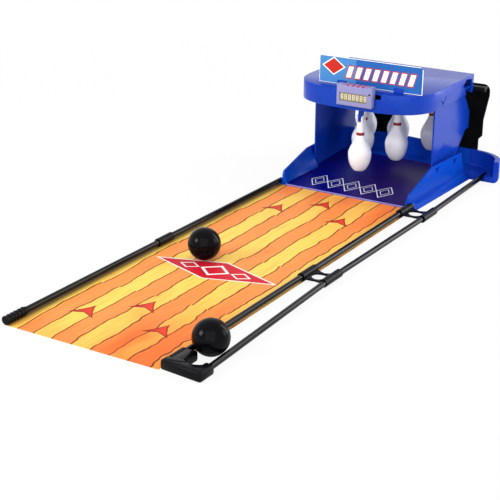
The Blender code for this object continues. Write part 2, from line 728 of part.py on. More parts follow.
def make_end_stop():
    """The moulding that ties both return rails together and stops the ball."""
    front = from_front(STOP_FRONT_FROM_FRONT)
    left = RAIL_CENTRE_X - STOP_ARM_HALF_WIDTH
    right = OUTER_FRONT_X + STOP_ARM_HALF_WIDTH
    shelf = RAIL_CENTRE_X + STOP_SHELF_WIDTH
    inside = OUTER_FRONT_X - STOP_ARM_HALF_WIDTH
    bar_rear = front + STOP_BAR_DEPTH
    slant = STOP_FRONT_SLANT / 2
    curve = []
    for step in range(SAG_STEPS + 1):
        share = step / SAG_STEPS
        x = inside + (shelf - inside) * share
        curve.append((x, bar_rear - STOP_CURVE_DEPTH * math.sin(math.pi * share)))
    outline = [
        (left, front + slant),
        (right, front - slant),
        (right, front + STOP_OUTER_ARM_LENGTH),
        (inside, front + STOP_OUTER_ARM_LENGTH),
        *curve,
        (shelf, front + STOP_INNER_ARM_LENGTH),
        (RAIL_CENTRE_X, front + STOP_INNER_ARM_LENGTH),
        (RAIL_CENTRE_X, bar_rear),
        (left, bar_rear - slant),
    ]
    stop = make_prism("end_stop", outline, 0.0, STOP_HEIGHT, IN_XY, BLACK)
    round_edges(stop, STOP_ROUNDING)
    arm_start = Vector((RAIL_CENTRE_X, front + STOP_BAR_DEPTH / 2, RAIL_CENTRE_Z))
    arm_end = Vector((RAIL_CENTRE_X, front + STOP_INNER_ARM_LENGTH, RAIL_CENTRE_Z))
    join(stop, make_rod("end_stop_arm", STOP_ARM_HALF_WIDTH - RIB_CHAMFER, arm_start, arm_end))
    rib_length = (arm_end - arm_start).length * STOP_RIB_LENGTH_SHARE
    for rib in range(STOP_RIB_COUNT):
        middle = arm_end.y - rib_length - (arm_end.y - bar_rear) * rib / STOP_RIB_COUNT
        start = Vector((RAIL_CENTRE_X, middle - rib_length / 2, RAIL_CENTRE_Z))
        end = Vector((RAIL_CENTRE_X, middle + rib_length / 2, RAIL_CENTRE_Z))
        join(stop, make_rod("end_stop_rib_" + str(rib), STOP_RIB_RADIUS, start, end))
    ball_seat = make_sphere("end_stop_ball_seat", BALL_RADIUS + TOUCH_GAP)
    ball_seat.location = returned_ball_place()
    cut(stop, ball_seat)
    bore = RAIL_RADIUS + TOUCH_GAP
    inner_end = Vector((RAIL_CENTRE_X, front + STOP_INNER_ARM_LENGTH * (1 - STOP_SOCKET_SHARE), RAIL_CENTRE_Z))
    cut(stop, make_rod("end_stop_inner_socket", bore, inner_end, arm_end + Vector((0, OVERRUN, 0))))
    bends = outer_rail_points()
    run = (bends[1] - bends[0]).normalized()
    cut(stop, make_rod("end_stop_outer_socket", bore, bends[0], bends[0] + run * STOP_INNER_ARM_LENGTH))


# Deck tub and tray


def ramp_height(distance):
    """Height of the deck's floor at a distance behind its front edge."""
    return SILL_HEIGHT + RAMP_RISE * distance / RAMP_LENGTH


def make_deck_tub():
    """The ramped deck with its side fins, flared skirts, trough and back wall, in one moulding."""
    wall_inside = from_front(BACK_WALL_FROM_FRONT - BACK_WALL_THICKNESS)
    trough_top = TROUGH_FLOOR_HEIGHT + TROUGH_FLOOR_DROP
    outline = [
        (from_front(0.0), 0.0),
        (from_front(BACK_WALL_FROM_FRONT), 0.0),
        (from_front(BACK_WALL_FROM_FRONT), TUB_RIM_HEIGHT),
        (wall_inside, TUB_RIM_HEIGHT),
        (wall_inside, trough_top),
        (from_front(RAMP_LENGTH), trough_top),
        (from_front(RAMP_LENGTH), ramp_height(RAMP_LENGTH)),
        (from_front(0.0), SILL_HEIGHT),
    ]
    tub = make_prism("deck_tub", outline, -DECK_HALF_WIDTH, DECK_HALF_WIDTH, IN_YZ, BLUE)
    join(tub, make_side("left"))
    join(tub, make_side("right"))
    join(tub, make_skirt("left", -1.0))
    join(tub, make_skirt("right", 1.0))

    # The trough's floor and, behind it, the right half of the rim fall towards the tray
    fall = [
        (-HOUSE_WALL_X, trough_top + TOUCH_GAP),
        (DECK_HALF_WIDTH + OVERRUN, TROUGH_FLOOR_HEIGHT),
        (DECK_HALF_WIDTH + OVERRUN, ramp_height(RAMP_LENGTH)),
        (-HOUSE_WALL_X, ramp_height(RAMP_LENGTH)),
    ]
    cut(tub, make_prism("trough_fall", fall, from_front(RAMP_LENGTH), wall_inside, IN_XZ))
    rim_fall = [
        (0.0, TUB_RIM_HEIGHT),
        (DECK_HALF_WIDTH, TRAY_RIM_HEIGHT),
        (DECK_HALF_WIDTH + OVERRUN, TRAY_RIM_HEIGHT),
        (DECK_HALF_WIDTH + OVERRUN, TUB_RIM_HEIGHT + OVERRUN),
        (0.0, TUB_RIM_HEIGHT + OVERRUN),
    ]
    behind = from_front(BACK_WALL_FROM_FRONT) + OVERRUN
    cut(tub, make_prism("rim_fall", rim_fall, from_front(RAMP_LENGTH), behind, IN_XZ))

    # Underneath, the moulding is a shell that stands on its sill and its outer walls
    hollow_x = DECK_HALF_WIDTH - FLOOR_THICKNESS
    step = RAMP_LENGTH - FLOOR_THICKNESS
    under = [
        (from_front(SILL_DEPTH), -OVERRUN),
        (from_front(SILL_DEPTH), ramp_height(SILL_DEPTH) - FLOOR_THICKNESS),
        (from_front(step), ramp_height(step) - FLOOR_THICKNESS),
        (from_front(step), TROUGH_FLOOR_HEIGHT - FLOOR_THICKNESS),
        (wall_inside, TROUGH_FLOOR_HEIGHT - FLOOR_THICKNESS),
        (wall_inside, -OVERRUN),
    ]
    cut(tub, make_prism("underside", under, -hollow_x, hollow_x, IN_YZ))

    # Clip slots in the right fin, and the spigots that the two straight rails slide over
    fin_outside = fin_face_x(RAMP_LENGTH)
    for index, distance in enumerate(CLIP_SLOT_FROM_FRONTS):
        top = right_fin_height(distance) - CLIP_SLOT_DROP
        v_outline = [
            (from_front(distance) - CLIP_SLOT_WIDTH / 2, top),
            (from_front(distance) + CLIP_SLOT_WIDTH / 2, top),
            (from_front(distance), top - CLIP_SLOT_HEIGHT),
        ]
        start = HOUSE_WALL_X + TOUCH_GAP
        cut(tub, make_prism("clip_slot_" + str(index), v_outline, start, fin_outside + OVERRUN, IN_YZ))
    for side, x in (("left", -RAIL_CENTRE_X), ("inner", RAIL_CENTRE_X)):
        tip = (x, DECK_FRONT_Y - SPIGOT_LENGTH, RAIL_CENTRE_Z)
        root = (x, DECK_FRONT_Y, RAIL_CENTRE_Z)
        back = (x, DECK_FRONT_Y + SPIGOT_BOSS_LENGTH, RAIL_CENTRE_Z)
        join(tub, make_rod(side + "_spigot_boss", RAIL_RADIUS, root, back))
        join(tub, make_rod(side + "_spigot", SPIGOT_RADIUS, tip, back, sides=SMALL_SIDES))


def fin_face_x(distance):
    """Half the width over the fins' outer faces, which spread evenly towards the rear."""
    return DECK_HALF_WIDTH + FIN_FLARE * distance / RAMP_LENGTH


def right_fin_height(distance):
    """Height of the right fin's top behind its peak, at a distance behind the deck's front edge."""
    run = RAMP_LENGTH - RIGHT_FIN_REAR_SETBACK - RIGHT_FIN_PEAK_FROM_FRONT
    share = (distance - RIGHT_FIN_PEAK_FROM_FRONT) / run
    return RIGHT_FIN_PEAK_HEIGHT + (RIGHT_FIN_REAR_HEIGHT - RIGHT_FIN_PEAK_HEIGHT) * share


def make_side(side):
    """One side of the tub: a slope out of the floor before the house, then a thin fin beside it.

    The right fin ends at the ramp's end, and its rear edge is drawn forward so that a ball can roll
    out of the trough behind it.
    """
    lobe = FIN_LOBE_RADIUS
    front_top = arc((from_front(lobe), FIN_FRONT_HEIGHT - lobe), lobe, 90.0, 180.0, FIN_LOBE_STEPS)
    if side == "left":
        sign = -1.0
        outline = [
            (from_front(0.0), 0.0),
            (from_front(BACK_WALL_FROM_FRONT), 0.0),
            (from_front(BACK_WALL_FROM_FRONT), TUB_RIM_HEIGHT),
            (from_front(LEFT_FIN_PEAK_FROM_FRONT), LEFT_FIN_PEAK_HEIGHT),
            *front_top,
        ]
    else:
        sign = 1.0
        outline = [
            (from_front(0.0), 0.0),
            (from_front(RAMP_LENGTH), 0.0),
            (from_front(RAMP_LENGTH), ramp_height(RAMP_LENGTH)),
            (from_front(RAMP_LENGTH - RIGHT_FIN_WAIST_SETBACK), RIGHT_FIN_WAIST_HEIGHT),
            (from_front(RAMP_LENGTH - RIGHT_FIN_REAR_SETBACK), RIGHT_FIN_REAR_HEIGHT),
            (from_front(RIGHT_FIN_PEAK_FROM_FRONT), RIGHT_FIN_PEAK_HEIGHT),
            *front_top,
        ]
    inside = DECK_HALF_WIDTH - SLOPE_REAR_WIDTH
    outside = fin_face_x(BACK_WALL_FROM_FRONT)
    low, high = sorted((sign * inside, sign * outside))
    body = make_prism(side + "_side", outline, low, high, IN_YZ)

    # Outside, the fin runs out as it goes back
    rear = from_front(BACK_WALL_FROM_FRONT)
    far = outside + OVERRUN
    tall = RIGHT_FIN_PEAK_HEIGHT + OVERRUN
    trim = [
        (sign * DECK_HALF_WIDTH, DECK_FRONT_Y),
        (sign * outside, rear),
        (sign * outside, rear + OVERRUN),
        (sign * far, rear + OVERRUN),
        (sign * far, DECK_FRONT_Y - OVERRUN),
        (sign * DECK_HALF_WIDTH, DECK_FRONT_Y - OVERRUN),
    ]
    cut(body, make_prism(side + "_outside_trim", trim, -OVERRUN, tall, IN_XY))

    # Inside, a slope from the fin's top to the floor before the house
    before_house = HOUSE_WALL_FRONT_FROM_FRONT - TOUCH_GAP
    house = from_front(before_house)
    peak = LEFT_FIN_PEAK_HEIGHT if side == "left" else RIGHT_FIN_PEAK_HEIGHT
    slope = []
    for distance, width, top in (
        (0.0, SLOPE_FRONT_WIDTH, FIN_FRONT_HEIGHT),
        (before_house, SLOPE_REAR_WIDTH, peak),
    ):
        y = from_front(distance)
        floor = ramp_height(distance)
        fin_inside = fin_face_x(distance) - FIN_THICKNESS
        slope.append((sign * (inside - OVERRUN), y, tall))
        slope.append((sign * (inside - OVERRUN), y, floor))
        slope.append((sign * (DECK_HALF_WIDTH - width), y, floor))
        slope.append((sign * fin_inside, y, top))
        slope.append((sign * fin_inside, y, tall))
    cut(body, make_hull(side + "_inside_slope", slope))

    # Beside the house, a slot between the wall and the fin
    slot_end = RAMP_LENGTH if side == "right" else BACK_WALL_FROM_FRONT - BACK_WALL_THICKNESS
    slot = []
    for distance in (before_house, slot_end):
        for z in (ramp_height(min(distance, RAMP_LENGTH)), tall):
            slot.append((sign * HOUSE_WALL_X, from_front(distance), z))
            slot.append((sign * (fin_face_x(distance) - FIN_THICKNESS), from_front(distance), z))
    cut(body, make_hull(side + "_wall_slot", slot))
    wall_inside = from_front(BACK_WALL_FROM_FRONT - BACK_WALL_THICKNESS)
    pocket = [
        (house, ramp_height(HOUSE_WALL_FRONT_FROM_FRONT)),
        (from_front(RAMP_LENGTH), ramp_height(RAMP_LENGTH)),
        (from_front(RAMP_LENGTH), TROUGH_FLOOR_HEIGHT + TROUGH_FLOOR_DROP),
        (wall_inside, TROUGH_FLOOR_HEIGHT + TROUGH_FLOOR_DROP),
        (wall_inside, tall),
        (house, tall),
    ]
    low, high = sorted((sign * (inside - OVERRUN), sign * (HOUSE_WALL_X + TOUCH_GAP)))
    cut(body, make_prism(side + "_house_pocket", pocket, low, high, IN_YZ))
    return body


def make_skirt(side, sign):
    """The flared foot under a fin: a ledge that narrows to the rear, and a face that slopes to the table."""
    corners = []
    for distance, height, ledge, reach in (
        (0.0, SKIRT_FRONT_HEIGHT, SKIRT_FRONT_LEDGE, SKIRT_FRONT_REACH),
        (TRAY_FRONT_FROM_FRONT - TOUCH_GAP, SKIRT_REAR_HEIGHT, SKIRT_REAR_LEDGE, SKIRT_REAR_REACH),
    ):
        y = from_front(distance)
        face = fin_face_x(distance)
        corners.append((sign * (face - SKIRT_ROOT), y, 0.0))
        corners.append((sign * (face - SKIRT_ROOT), y, height))
        corners.append((sign * (face + ledge), y, height))
        corners.append((sign * (face + reach), y, 0.0))
    return make_hull(side + "_skirt", corners)


def make_return_tray():
    """The quarter-round bowl that turns a ball from the trough onto the return rails."""
    corner = Vector((TRAY_CORNER_X, from_front(TRAY_CORNER_FROM_FRONT)))
    fin_outside = fin_face_x(RAMP_LENGTH) + TOUCH_GAP
    front = from_front(TRAY_FRONT_FROM_FRONT)
    foot = from_front(RAMP_LENGTH) + TOUCH_GAP
    left = DECK_HALF_WIDTH + TOUCH_GAP
    quarter = superellipse_quarter(TRAY_HALF_AXIS_X, TRAY_HALF_AXIS_Y, TRAY_POWER, TRAY_ARC_STEPS)
    outer = [(corner.x + across, corner.y + up) for across, up in quarter]
    before = corner.y - OVERRUN
    outline = [(outer[0][0], before), *outer, (left, corner.y + TRAY_HALF_AXIS_Y), (left, before)]
    tray = make_prism("return_tray", outline, 0.0, TRAY_RIM_HEIGHT, IN_XY, BLUE)

    # Its outer wall turns in at the foot, and its front is cut square, clear of the fin
    shape = bmesh.new()
    shape.from_mesh(tray.data)
    curved = [
        edge
        for edge in shape.edges
        if all(vertex.co.z < TOUCH_GAP and vertex.co.x > left + TOUCH_GAP for vertex in edge.verts)
        and any(vertex.co.y > before + TOUCH_GAP for vertex in edge.verts)
        and len(edge.link_faces) == 2
        and any(abs(face.normal.z) < TOUCH_GAP for face in edge.link_faces)
    ]
    bmesh.ops.bevel(
        shape,
        geom=curved,
        offset=TRAY_FOOT_ROUNDING,
        segments=TRAY_FOOT_SEGMENTS,
        profile=0.5,
        affect="EDGES",
    )
    shape.to_mesh(tray.data)
    shape.free()
    clear = make_box(
        "tray_fin_space",
        (left - OVERRUN, before - OVERRUN, -OVERRUN),
        (fin_outside, foot, TRAY_RIM_HEIGHT + OVERRUN),
    )
    cut(tray, clear)
    reach_x = corner.x + TRAY_HALF_AXIS_X + OVERRUN
    square = make_box(
        "tray_front_cut",
        (left - OVERRUN, before - OVERRUN, -OVERRUN),
        (reach_x, front, TRAY_RIM_HEIGHT + OVERRUN),
    )
    cut(tray, square)

    bowl_x = TRAY_HALF_AXIS_X - TRAY_END_WALL
    bowl_y = TRAY_HALF_AXIS_Y - TRAY_WALL
    inner = superellipse_quarter(bowl_x, bowl_y, TRAY_POWER, TRAY_ARC_STEPS)
    bowl = [(corner.x + across, corner.y + up) for across, up in inner]
    bowl_outline = [
        *bowl,
        (corner.x - OVERRUN, corner.y + bowl_y),
        (corner.x - OVERRUN, front - OVERRUN),
        (corner.x + bowl_x, front - OVERRUN),
    ]
    tool = make_prism("tray_bowl", bowl_outline, TRAY_FLOOR_HEIGHT, TRAY_RIM_HEIGHT + OVERRUN, IN_XY)
    round_edges(tool, TRAY_BOWL_ROUNDING, TRAY_BOWL_SEGMENTS, TRAY_BOWL_ANGLE)
    cut(tray, tool)
    bends = outer_rail_points()
    run = (bends[3] - bends[2]).normalized()
    cut(tray, make_rod("tray_socket", RAIL_RADIUS + TOUCH_GAP, bends[3] - run * TRAY_HALF_AXIS_Y, bends[3]))


# House


def make_house_wall(side, sign):
    """One upright side of the house; it stands in the tub and meets the carrier.

    The right one is cut away at its lower rear, where the ball rolls out into the tray.
    """
    foot = ramp_height(HOUSE_WALL_FRONT_FROM_FRONT) + TOUCH_GAP
    ramp_end = ramp_height(RAMP_LENGTH) + TOUCH_GAP
    outline = [(from_front(HOUSE_WALL_FRONT_FROM_FRONT), foot)]
    if side == "left":
        outline += [
            (from_front(RAMP_LENGTH), ramp_end),
            (from_front(HOUSE_WALL_REAR_FROM_FRONT), ramp_end),
        ]
    else:
        rear_foot = HOUSE_WALL_REAR_FROM_FRONT - HOUSE_WALL_NOTCH_DEPTH
        ball_pass = HOUSE_WALL_REAR_FROM_FRONT - HOUSE_WALL_PASS_DEPTH
        outline += [
            (from_front(ball_pass), ramp_height(ball_pass) + TOUCH_GAP),
            (from_front(ball_pass), HOUSE_WALL_PASS_HEIGHT),
            (from_front(rear_foot), HOUSE_WALL_NOTCH_FOOT),
            (from_front(HOUSE_WALL_REAR_FROM_FRONT - HOUSE_WALL_NOTCH_STEP), HOUSE_WALL_NOTCH_HEIGHT),
            (from_front(HOUSE_WALL_REAR_FROM_FRONT), HOUSE_WALL_NOTCH_HEIGHT),
        ]
    outline += [
        (from_front(HOUSE_WALL_REAR_FROM_FRONT), HOUSE_WALL_SHOULDER_HEIGHT),
        (from_front(HOUSE_WALL_REAR_FROM_FRONT - HOUSE_WALL_SHOULDER_CUT), HOUSE_WALL_SHOULDER_TOP),
        (from_front(HOUSE_WALL_REAR_FROM_FRONT - HOUSE_WALL_SHOULDER_CUT), CARRIER_BOTTOM - TOUCH_GAP),
        (from_front(HOUSE_WALL_FRONT_FROM_FRONT), CARRIER_BOTTOM - TOUCH_GAP),
    ]
    low, high = sorted((sign * (HOUSE_WALL_X - HOUSE_WALL_THICKNESS), sign * HOUSE_WALL_X))
    wall = make_prism(side + "_side_wall", outline, low, high, IN_YZ, BLUE)
    if side == "left":
        return

    # Two tabs reach into the fin's clip slots
    for index, distance in enumerate(CLIP_SLOT_FROM_FRONTS):
        top = right_fin_height(distance) - CLIP_SLOT_DROP - CLIP_TAB_DROP
        start = from_front(distance) + CLIP_TAB_OFFSET - CLIP_TAB_WIDTH / 2
        tab_low = (HOUSE_WALL_X - HOUSE_WALL_THICKNESS / 2, start, top - CLIP_TAB_HEIGHT)
        tab_high = (fin_face_x(distance) - CLIP_TAB_SHY, start + CLIP_TAB_WIDTH, top)
        join(wall, make_box("clip_tab_" + str(index), tab_low, tab_high))


def hood_outline(inset):
    """The hood's bow-fronted plan, drawn in by an inset all round."""
    half = HOOD_HALF_WIDTH - inset
    depth = HOOD_BOW_DEPTH - inset
    shoulder = from_front(HOOD_FRONT_FROM_FRONT + HOOD_BOW_DEPTH)
    quarter = superellipse_quarter(half, depth, HOOD_POWER, HOOD_BOW_STEPS)
    bow = [(across, shoulder - up) for across, up in quarter]
    bow += [(-across, shoulder - up) for across, up in reversed(quarter[:-1])]
    rear = from_front(HOOD_REAR_FROM_FRONT) - inset
    return [*bow, (-half, rear), (half, rear)]


def counter_pocket(name, clearance):
    """The space of the counter's housing with a clearance all round."""
    low = (
        COUNTER_LEFT_X - clearance,
        from_front(COUNTER_FRONT_FROM_FRONT) - OVERRUN,
        COUNTER_BOTTOM - clearance,
    )
    high = (
        COUNTER_RIGHT_X + clearance,
        from_front(COUNTER_FRONT_FROM_FRONT + COUNTER_DEPTH) + clearance,
        COUNTER_TOP + OVERRUN,
    )
    return make_box(name, low, high)


def make_hood():
    """The bow-fronted roof, a shell that is open below, with a notch at each side's rear."""
    hood = make_prism("hood", hood_outline(0.0), HOOD_BOTTOM, HOOD_TOP, IN_XY, BLUE)
    round_edges(hood, HOOD_EDGE_ROUNDING)
    cut(hood, make_prism("hood_inside", hood_outline(HOOD_WALL), HOOD_BOTTOM - OVERRUN, HOOD_TOP - HOOD_WALL, IN_XY))
    notch_rear = HOOD_NOTCH_FROM_FRONT + HOOD_NOTCH_DEPTH
    notch = [
        (from_front(HOOD_NOTCH_FROM_FRONT - HOOD_NOTCH_SLANT), HOOD_BOTTOM + HOOD_NOTCH_HEIGHT * HOOD_NOTCH_KNEE_SHARE),
        (from_front(HOOD_NOTCH_FROM_FRONT), HOOD_BOTTOM + HOOD_NOTCH_HEIGHT),
        (from_front(notch_rear), HOOD_BOTTOM + HOOD_NOTCH_HEIGHT * HOOD_NOTCH_REAR_SHARE),
        (from_front(notch_rear), HOOD_BOTTOM - OVERRUN),
        (from_front(HOOD_NOTCH_FROM_FRONT + HOOD_NOTCH_SLANT), HOOD_BOTTOM - OVERRUN),
    ]
    reach = HOOD_HALF_WIDTH + OVERRUN
    cut(hood, make_prism("hood_right_notch", notch, HOUSE_WALL_X + TOUCH_GAP, reach, IN_YZ))
    cut(hood, make_prism("hood_left_notch", notch, -reach, -HOUSE_WALL_X - TOUCH_GAP, IN_YZ))
    cut(hood, counter_pocket("hood_counter_pocket", TOUCH_GAP))
    side_pocket = make_box(
        "hood_side_pocket",
        (COUNTER_RIGHT_X, from_front(COUNTER_FRONT_FROM_FRONT) - OVERRUN, COUNTER_SIDE_POCKET_BOTTOM),
        (
            COUNTER_RIGHT_X + COUNTER_SIDE_POCKET_WIDTH,
            from_front(COUNTER_FRONT_FROM_FRONT + COUNTER_DEPTH),
            HOOD_TOP + OVERRUN,
        ),
    )
    cut(hood, side_pocket)

    # A forked clip slot in each side
    for index, (start, end) in enumerate(HOOD_CLIP_BARS):
        first = Vector((from_front(start[0]), start[1]))
        last = Vector((from_front(end[0]), end[1]))
        across = (last - first).normalized().orthogonal() * (HOOD_CLIP_STROKE / 2)
        bar = [first + across, last + across, last - across, first - across]
        inner = HOUSE_WALL_X + TOUCH_GAP
        cut(hood, make_prism("hood_clip_right_" + str(index), bar, inner, reach, IN_YZ))
        cut(hood, make_prism("hood_clip_left_" + str(index), bar, -reach, -inner, IN_YZ))


def pin_places():
    """Name, axle point and row of each pin: one, two and three to a row."""
    places = []
    for row, distance in enumerate(PIN_ROW_FROM_FRONTS):
        for index in range(row + 1):
            x = PIN_SPACING * (index - row / 2)
            z = PIN_AXLE_HEIGHT + PIN_ROW_RISE * row
            places.append((str(len(places) + 1), Vector((x, from_front(distance), z)), row))
    return places


def make_carrier():
    """The plate inside the hood that rests on the side walls and carries a tab for each pin."""
    inset = HOOD_WALL + TOUCH_GAP
    top = CARRIER_BOTTOM + CARRIER_THICKNESS
    carrier = make_prism("pin_carrier", hood_outline(inset), CARRIER_BOTTOM, top, IN_XY, BLUE)
    cut(carrier, counter_pocket("carrier_counter_pocket", TOUCH_GAP))
    for name, axle, _ in pin_places():
        low = axle - Vector((TAB_WIDTH / 2, TAB_DEPTH / 2, 0))
        high = Vector((axle.x + TAB_WIDTH / 2, axle.y + TAB_DEPTH / 2, CARRIER_BOTTOM + CARRIER_THICKNESS / 2))
        tab = make_box("tab_" + name, low, high)
        reach = Vector((TAB_WIDTH / 2, 0, 0))
        join(tab, make_rod("tab_foot_" + name, TAB_DEPTH / 2, axle - reach, axle + reach))
        join(carrier, tab)
        collar_low = (axle.x - TAB_COLLAR_WIDTH / 2, axle.y - TAB_COLLAR_DEPTH / 2, CARRIER_BOTTOM - TAB_COLLAR_DROP)
        collar_high = (axle.x + TAB_COLLAR_WIDTH / 2, axle.y + TAB_COLLAR_DEPTH / 2, high.z)
        join(carrier, make_box("tab_collar_" + name, collar_low, collar_high))
        hole = Vector((TAB_WIDTH, 0, 0))
        cut(carrier, make_rod("tab_hole_" + name, AXLE_RADIUS + TOUCH_GAP, axle - hole, axle + hole, sides=SMALL_SIDES))


def pin_profile():
    """The pin's turned section below its axle, as (radius, height) from the top down."""
    profile = [(0.0, 0.0), (PIN_SHOULDER_RADIUS, 0.0), (PIN_SHOULDER_RADIUS, -PIN_SHOULDER_DROP)]
    for step in range(PIN_PROFILE_STEPS + 1):
        share = step / PIN_PROFILE_STEPS
        drop = PIN_NECK_DROP + (PIN_BELLY_DROP - PIN_NECK_DROP) * share
        ease = share * share * (3.0 - 2.0 * share)
        profile.append((PIN_NECK_RADIUS + (PIN_BELLY_RADIUS - PIN_NECK_RADIUS) * ease, -drop))
    spread = math.sqrt(1.0 - (PIN_FOOT_RADIUS / PIN_BELLY_RADIUS) ** 2)
    for step in range(1, PIN_PROFILE_STEPS // 2 + 1):
        share = math.sin(math.radians(90.0 * step / (PIN_PROFILE_STEPS // 2)))
        drop = PIN_BELLY_DROP + (PIN_BOTTOM_DROP - PIN_BELLY_DROP) * share
        profile.append((PIN_BELLY_RADIUS * math.sqrt(1.0 - (spread * share) ** 2), -drop))
    profile.append((0.0, -PIN_BOTTOM_DROP))
    return profile


def make_pins():
    """The six pins, each forked over its tab on a wire axle."""
    profile = pin_profile()
    for name, axle, _ in pin_places():
        pin = make_turned("pin_" + name, profile, Matrix.Translation((0, 0, 0)), PIN_WHITE, PIN_SIDES)
        pin.location = axle
        half = PIN_FORK_GAP / 2 + PIN_CHEEK_THICKNESS
        reach = Vector((half, 0, 0))
        cheeks = make_rod("pin_cheeks_" + name, PIN_CHEEK_RADIUS, axle - reach, axle + reach)
        join(pin, cheeks)
        slot_low = axle + Vector((-PIN_FORK_GAP / 2, -PIN_BELLY_RADIUS, -PIN_SLOT_DROP))
        slot_high = axle + Vector((PIN_FORK_GAP / 2, PIN_BELLY_RADIUS, PIN_BELLY_RADIUS))
        cut(pin, make_box("pin_slot_" + name, slot_low, slot_high))
        for side, sign in (("left", -1.0), ("right", 1.0)):
            edge, far = sorted((sign * half, sign * PIN_BELLY_RADIUS))
            flat_low = axle + Vector((edge, -PIN_BELLY_RADIUS, -PIN_SLOT_DROP))
            flat_high = axle + Vector((far, PIN_BELLY_RADIUS, PIN_BELLY_RADIUS))
            cut(pin, make_box("pin_flat_" + side + "_" + name, flat_low, flat_high))
        hole = Vector((PIN_BELLY_RADIUS, 0, 0))
        cut(pin, make_rod("pin_hole_" + name, AXLE_RADIUS + TOUCH_GAP, axle - hole, axle + hole, sides=SMALL_SIDES))
        make_rod("pin_axle_" + name, AXLE_RADIUS, axle - reach, axle + reach, STEEL, SMALL_SIDES)


# Counter, sign and backstop


def make_counter():
    """The score counter: housing, window, display, board, coin cell, back cover and reset button."""
    front = from_front(COUNTER_FRONT_FROM_FRONT)
    rear = front + COUNTER_DEPTH
    low = (COUNTER_LEFT_X, front, COUNTER_BOTTOM)
    housing = make_box("counter_housing", low, (COUNTER_RIGHT_X, rear, COUNTER_TOP), GREY)
    round_edges(housing, COUNTER_EDGE_ROUNDING)
    wall = Vector((COUNTER_WALL, COUNTER_WALL, COUNTER_WALL))
    inner_low = Vector(low) + wall
    inner_high = Vector((COUNTER_RIGHT_X, rear + OVERRUN, COUNTER_TOP)) - Vector((COUNTER_WALL, 0, COUNTER_WALL))
    cut(housing, make_box("counter_inside", inner_low, inner_high))
    opening_low = (WINDOW_LEFT_X, front - OVERRUN, WINDOW_BOTTOM)
    opening_high = (WINDOW_RIGHT_X, front + COUNTER_WALL + OVERRUN / 2, WINDOW_TOP)
    cut(housing, make_box("counter_opening", opening_low, opening_high))
    button_at = Vector((BUTTON_X, front, BUTTON_Z))
    reach = Vector((0, OVERRUN / 2, 0))
    hole_radius = BUTTON_RADIUS + TOUCH_GAP
    cut(housing, make_rod("button_hole", hole_radius, button_at - reach, button_at + reach, sides=SMALL_SIDES))

    lens_front = front + WINDOW_RECESS
    lens_low = (WINDOW_LEFT_X + TOUCH_GAP, lens_front, WINDOW_BOTTOM + TOUCH_GAP)
    lens_high = (WINDOW_RIGHT_X - TOUCH_GAP, front + COUNTER_WALL, WINDOW_TOP - TOUCH_GAP)
    make_box("counter_window", lens_low, lens_high, CLEAR)

    face = front + COUNTER_WALL + TOUCH_GAP
    margin = WINDOW_MARGIN
    display_low = (WINDOW_LEFT_X - margin, face, WINDOW_BOTTOM - margin)
    display_high = (WINDOW_RIGHT_X + margin, face + DISPLAY_THICKNESS, WINDOW_TOP + margin)
    make_box("digit_display", display_low, display_high, OLIVE)

    board_y = face + DISPLAY_THICKNESS + TOUCH_GAP
    board_low = (inner_low.x + TOUCH_GAP, board_y, inner_low.z + TOUCH_GAP)
    board_high = (inner_high.x - TOUCH_GAP, board_y + BOARD_THICKNESS, inner_high.z - TOUCH_GAP)
    make_box("counter_board", board_low, board_high, BOARD_GREEN)
    cell_y = board_y + BOARD_THICKNESS + TOUCH_GAP
    cell_at = Vector(((COUNTER_LEFT_X + COUNTER_RIGHT_X) / 2, cell_y, (COUNTER_BOTTOM + COUNTER_TOP) / 2))
    make_rod("coin_cell", CELL_RADIUS, cell_at, cell_at + Vector((0, CELL_THICKNESS, 0)), STEEL)
    cover_y = cell_y + CELL_THICKNESS + TOUCH_GAP
    cover_low = (board_low[0], cover_y, board_low[2])
    make_box("counter_back_cover", cover_low, (board_high[0], rear, board_high[2]), GREY)

    button_end = Vector((BUTTON_X, board_y - BUTTON_TRAVEL - TOUCH_GAP, BUTTON_Z))
    make_rod("reset_button", BUTTON_RADIUS, button_at - Vector((0, BUTTON_PROUD, 0)), button_end, BLACK, SMALL_SIDES)


def make_sign():
    """The upright sign card and the two clips that hold its foot on the hood."""
    y = from_front(SIGN_FROM_FRONT)
    foot = HOOD_TOP + TOUCH_GAP + SIGN_CLIP_WALL + TOUCH_GAP
    top = foot + SIGN_HEIGHT
    radius = SIGN_CORNER_RADIUS
    outline = [(SIGN_LEFT_X, foot), (SIGN_RIGHT_X, foot)]
    outline += arc((SIGN_RIGHT_X - radius, top - radius), radius, 0.0, 90.0, SIGN_CORNER_STEPS)
    outline += arc((SIGN_LEFT_X + radius, top - radius), radius, 90.0, 180.0, SIGN_CORNER_STEPS)
    half = SIGN_THICKNESS / 2
    make_prism("sign_card", outline, y - half, y + half, IN_XZ, CARD)
    inner = half + TOUCH_GAP
    outer = inner + SIGN_CLIP_WALL
    base = HOOD_TOP + TOUCH_GAP
    section = [
        (y - outer, base),
        (y + outer, base),
        (y + outer, base + SIGN_CLIP_HEIGHT),
        (y + inner, base + SIGN_CLIP_HEIGHT),
        (y + inner, base + SIGN_CLIP_WALL),
        (y - inner, base + SIGN_CLIP_WALL),
        (y - inner, base + SIGN_CLIP_HEIGHT),
        (y - outer, base + SIGN_CLIP_HEIGHT),
    ]
    for side, x in zip(("left", "right"), SIGN_CLIP_XS):
        low = x - SIGN_CLIP_WIDTH / 2
        make_prism("sign_clip_" + side, section, low, low + SIGN_CLIP_WIDTH, IN_YZ, BLUE)


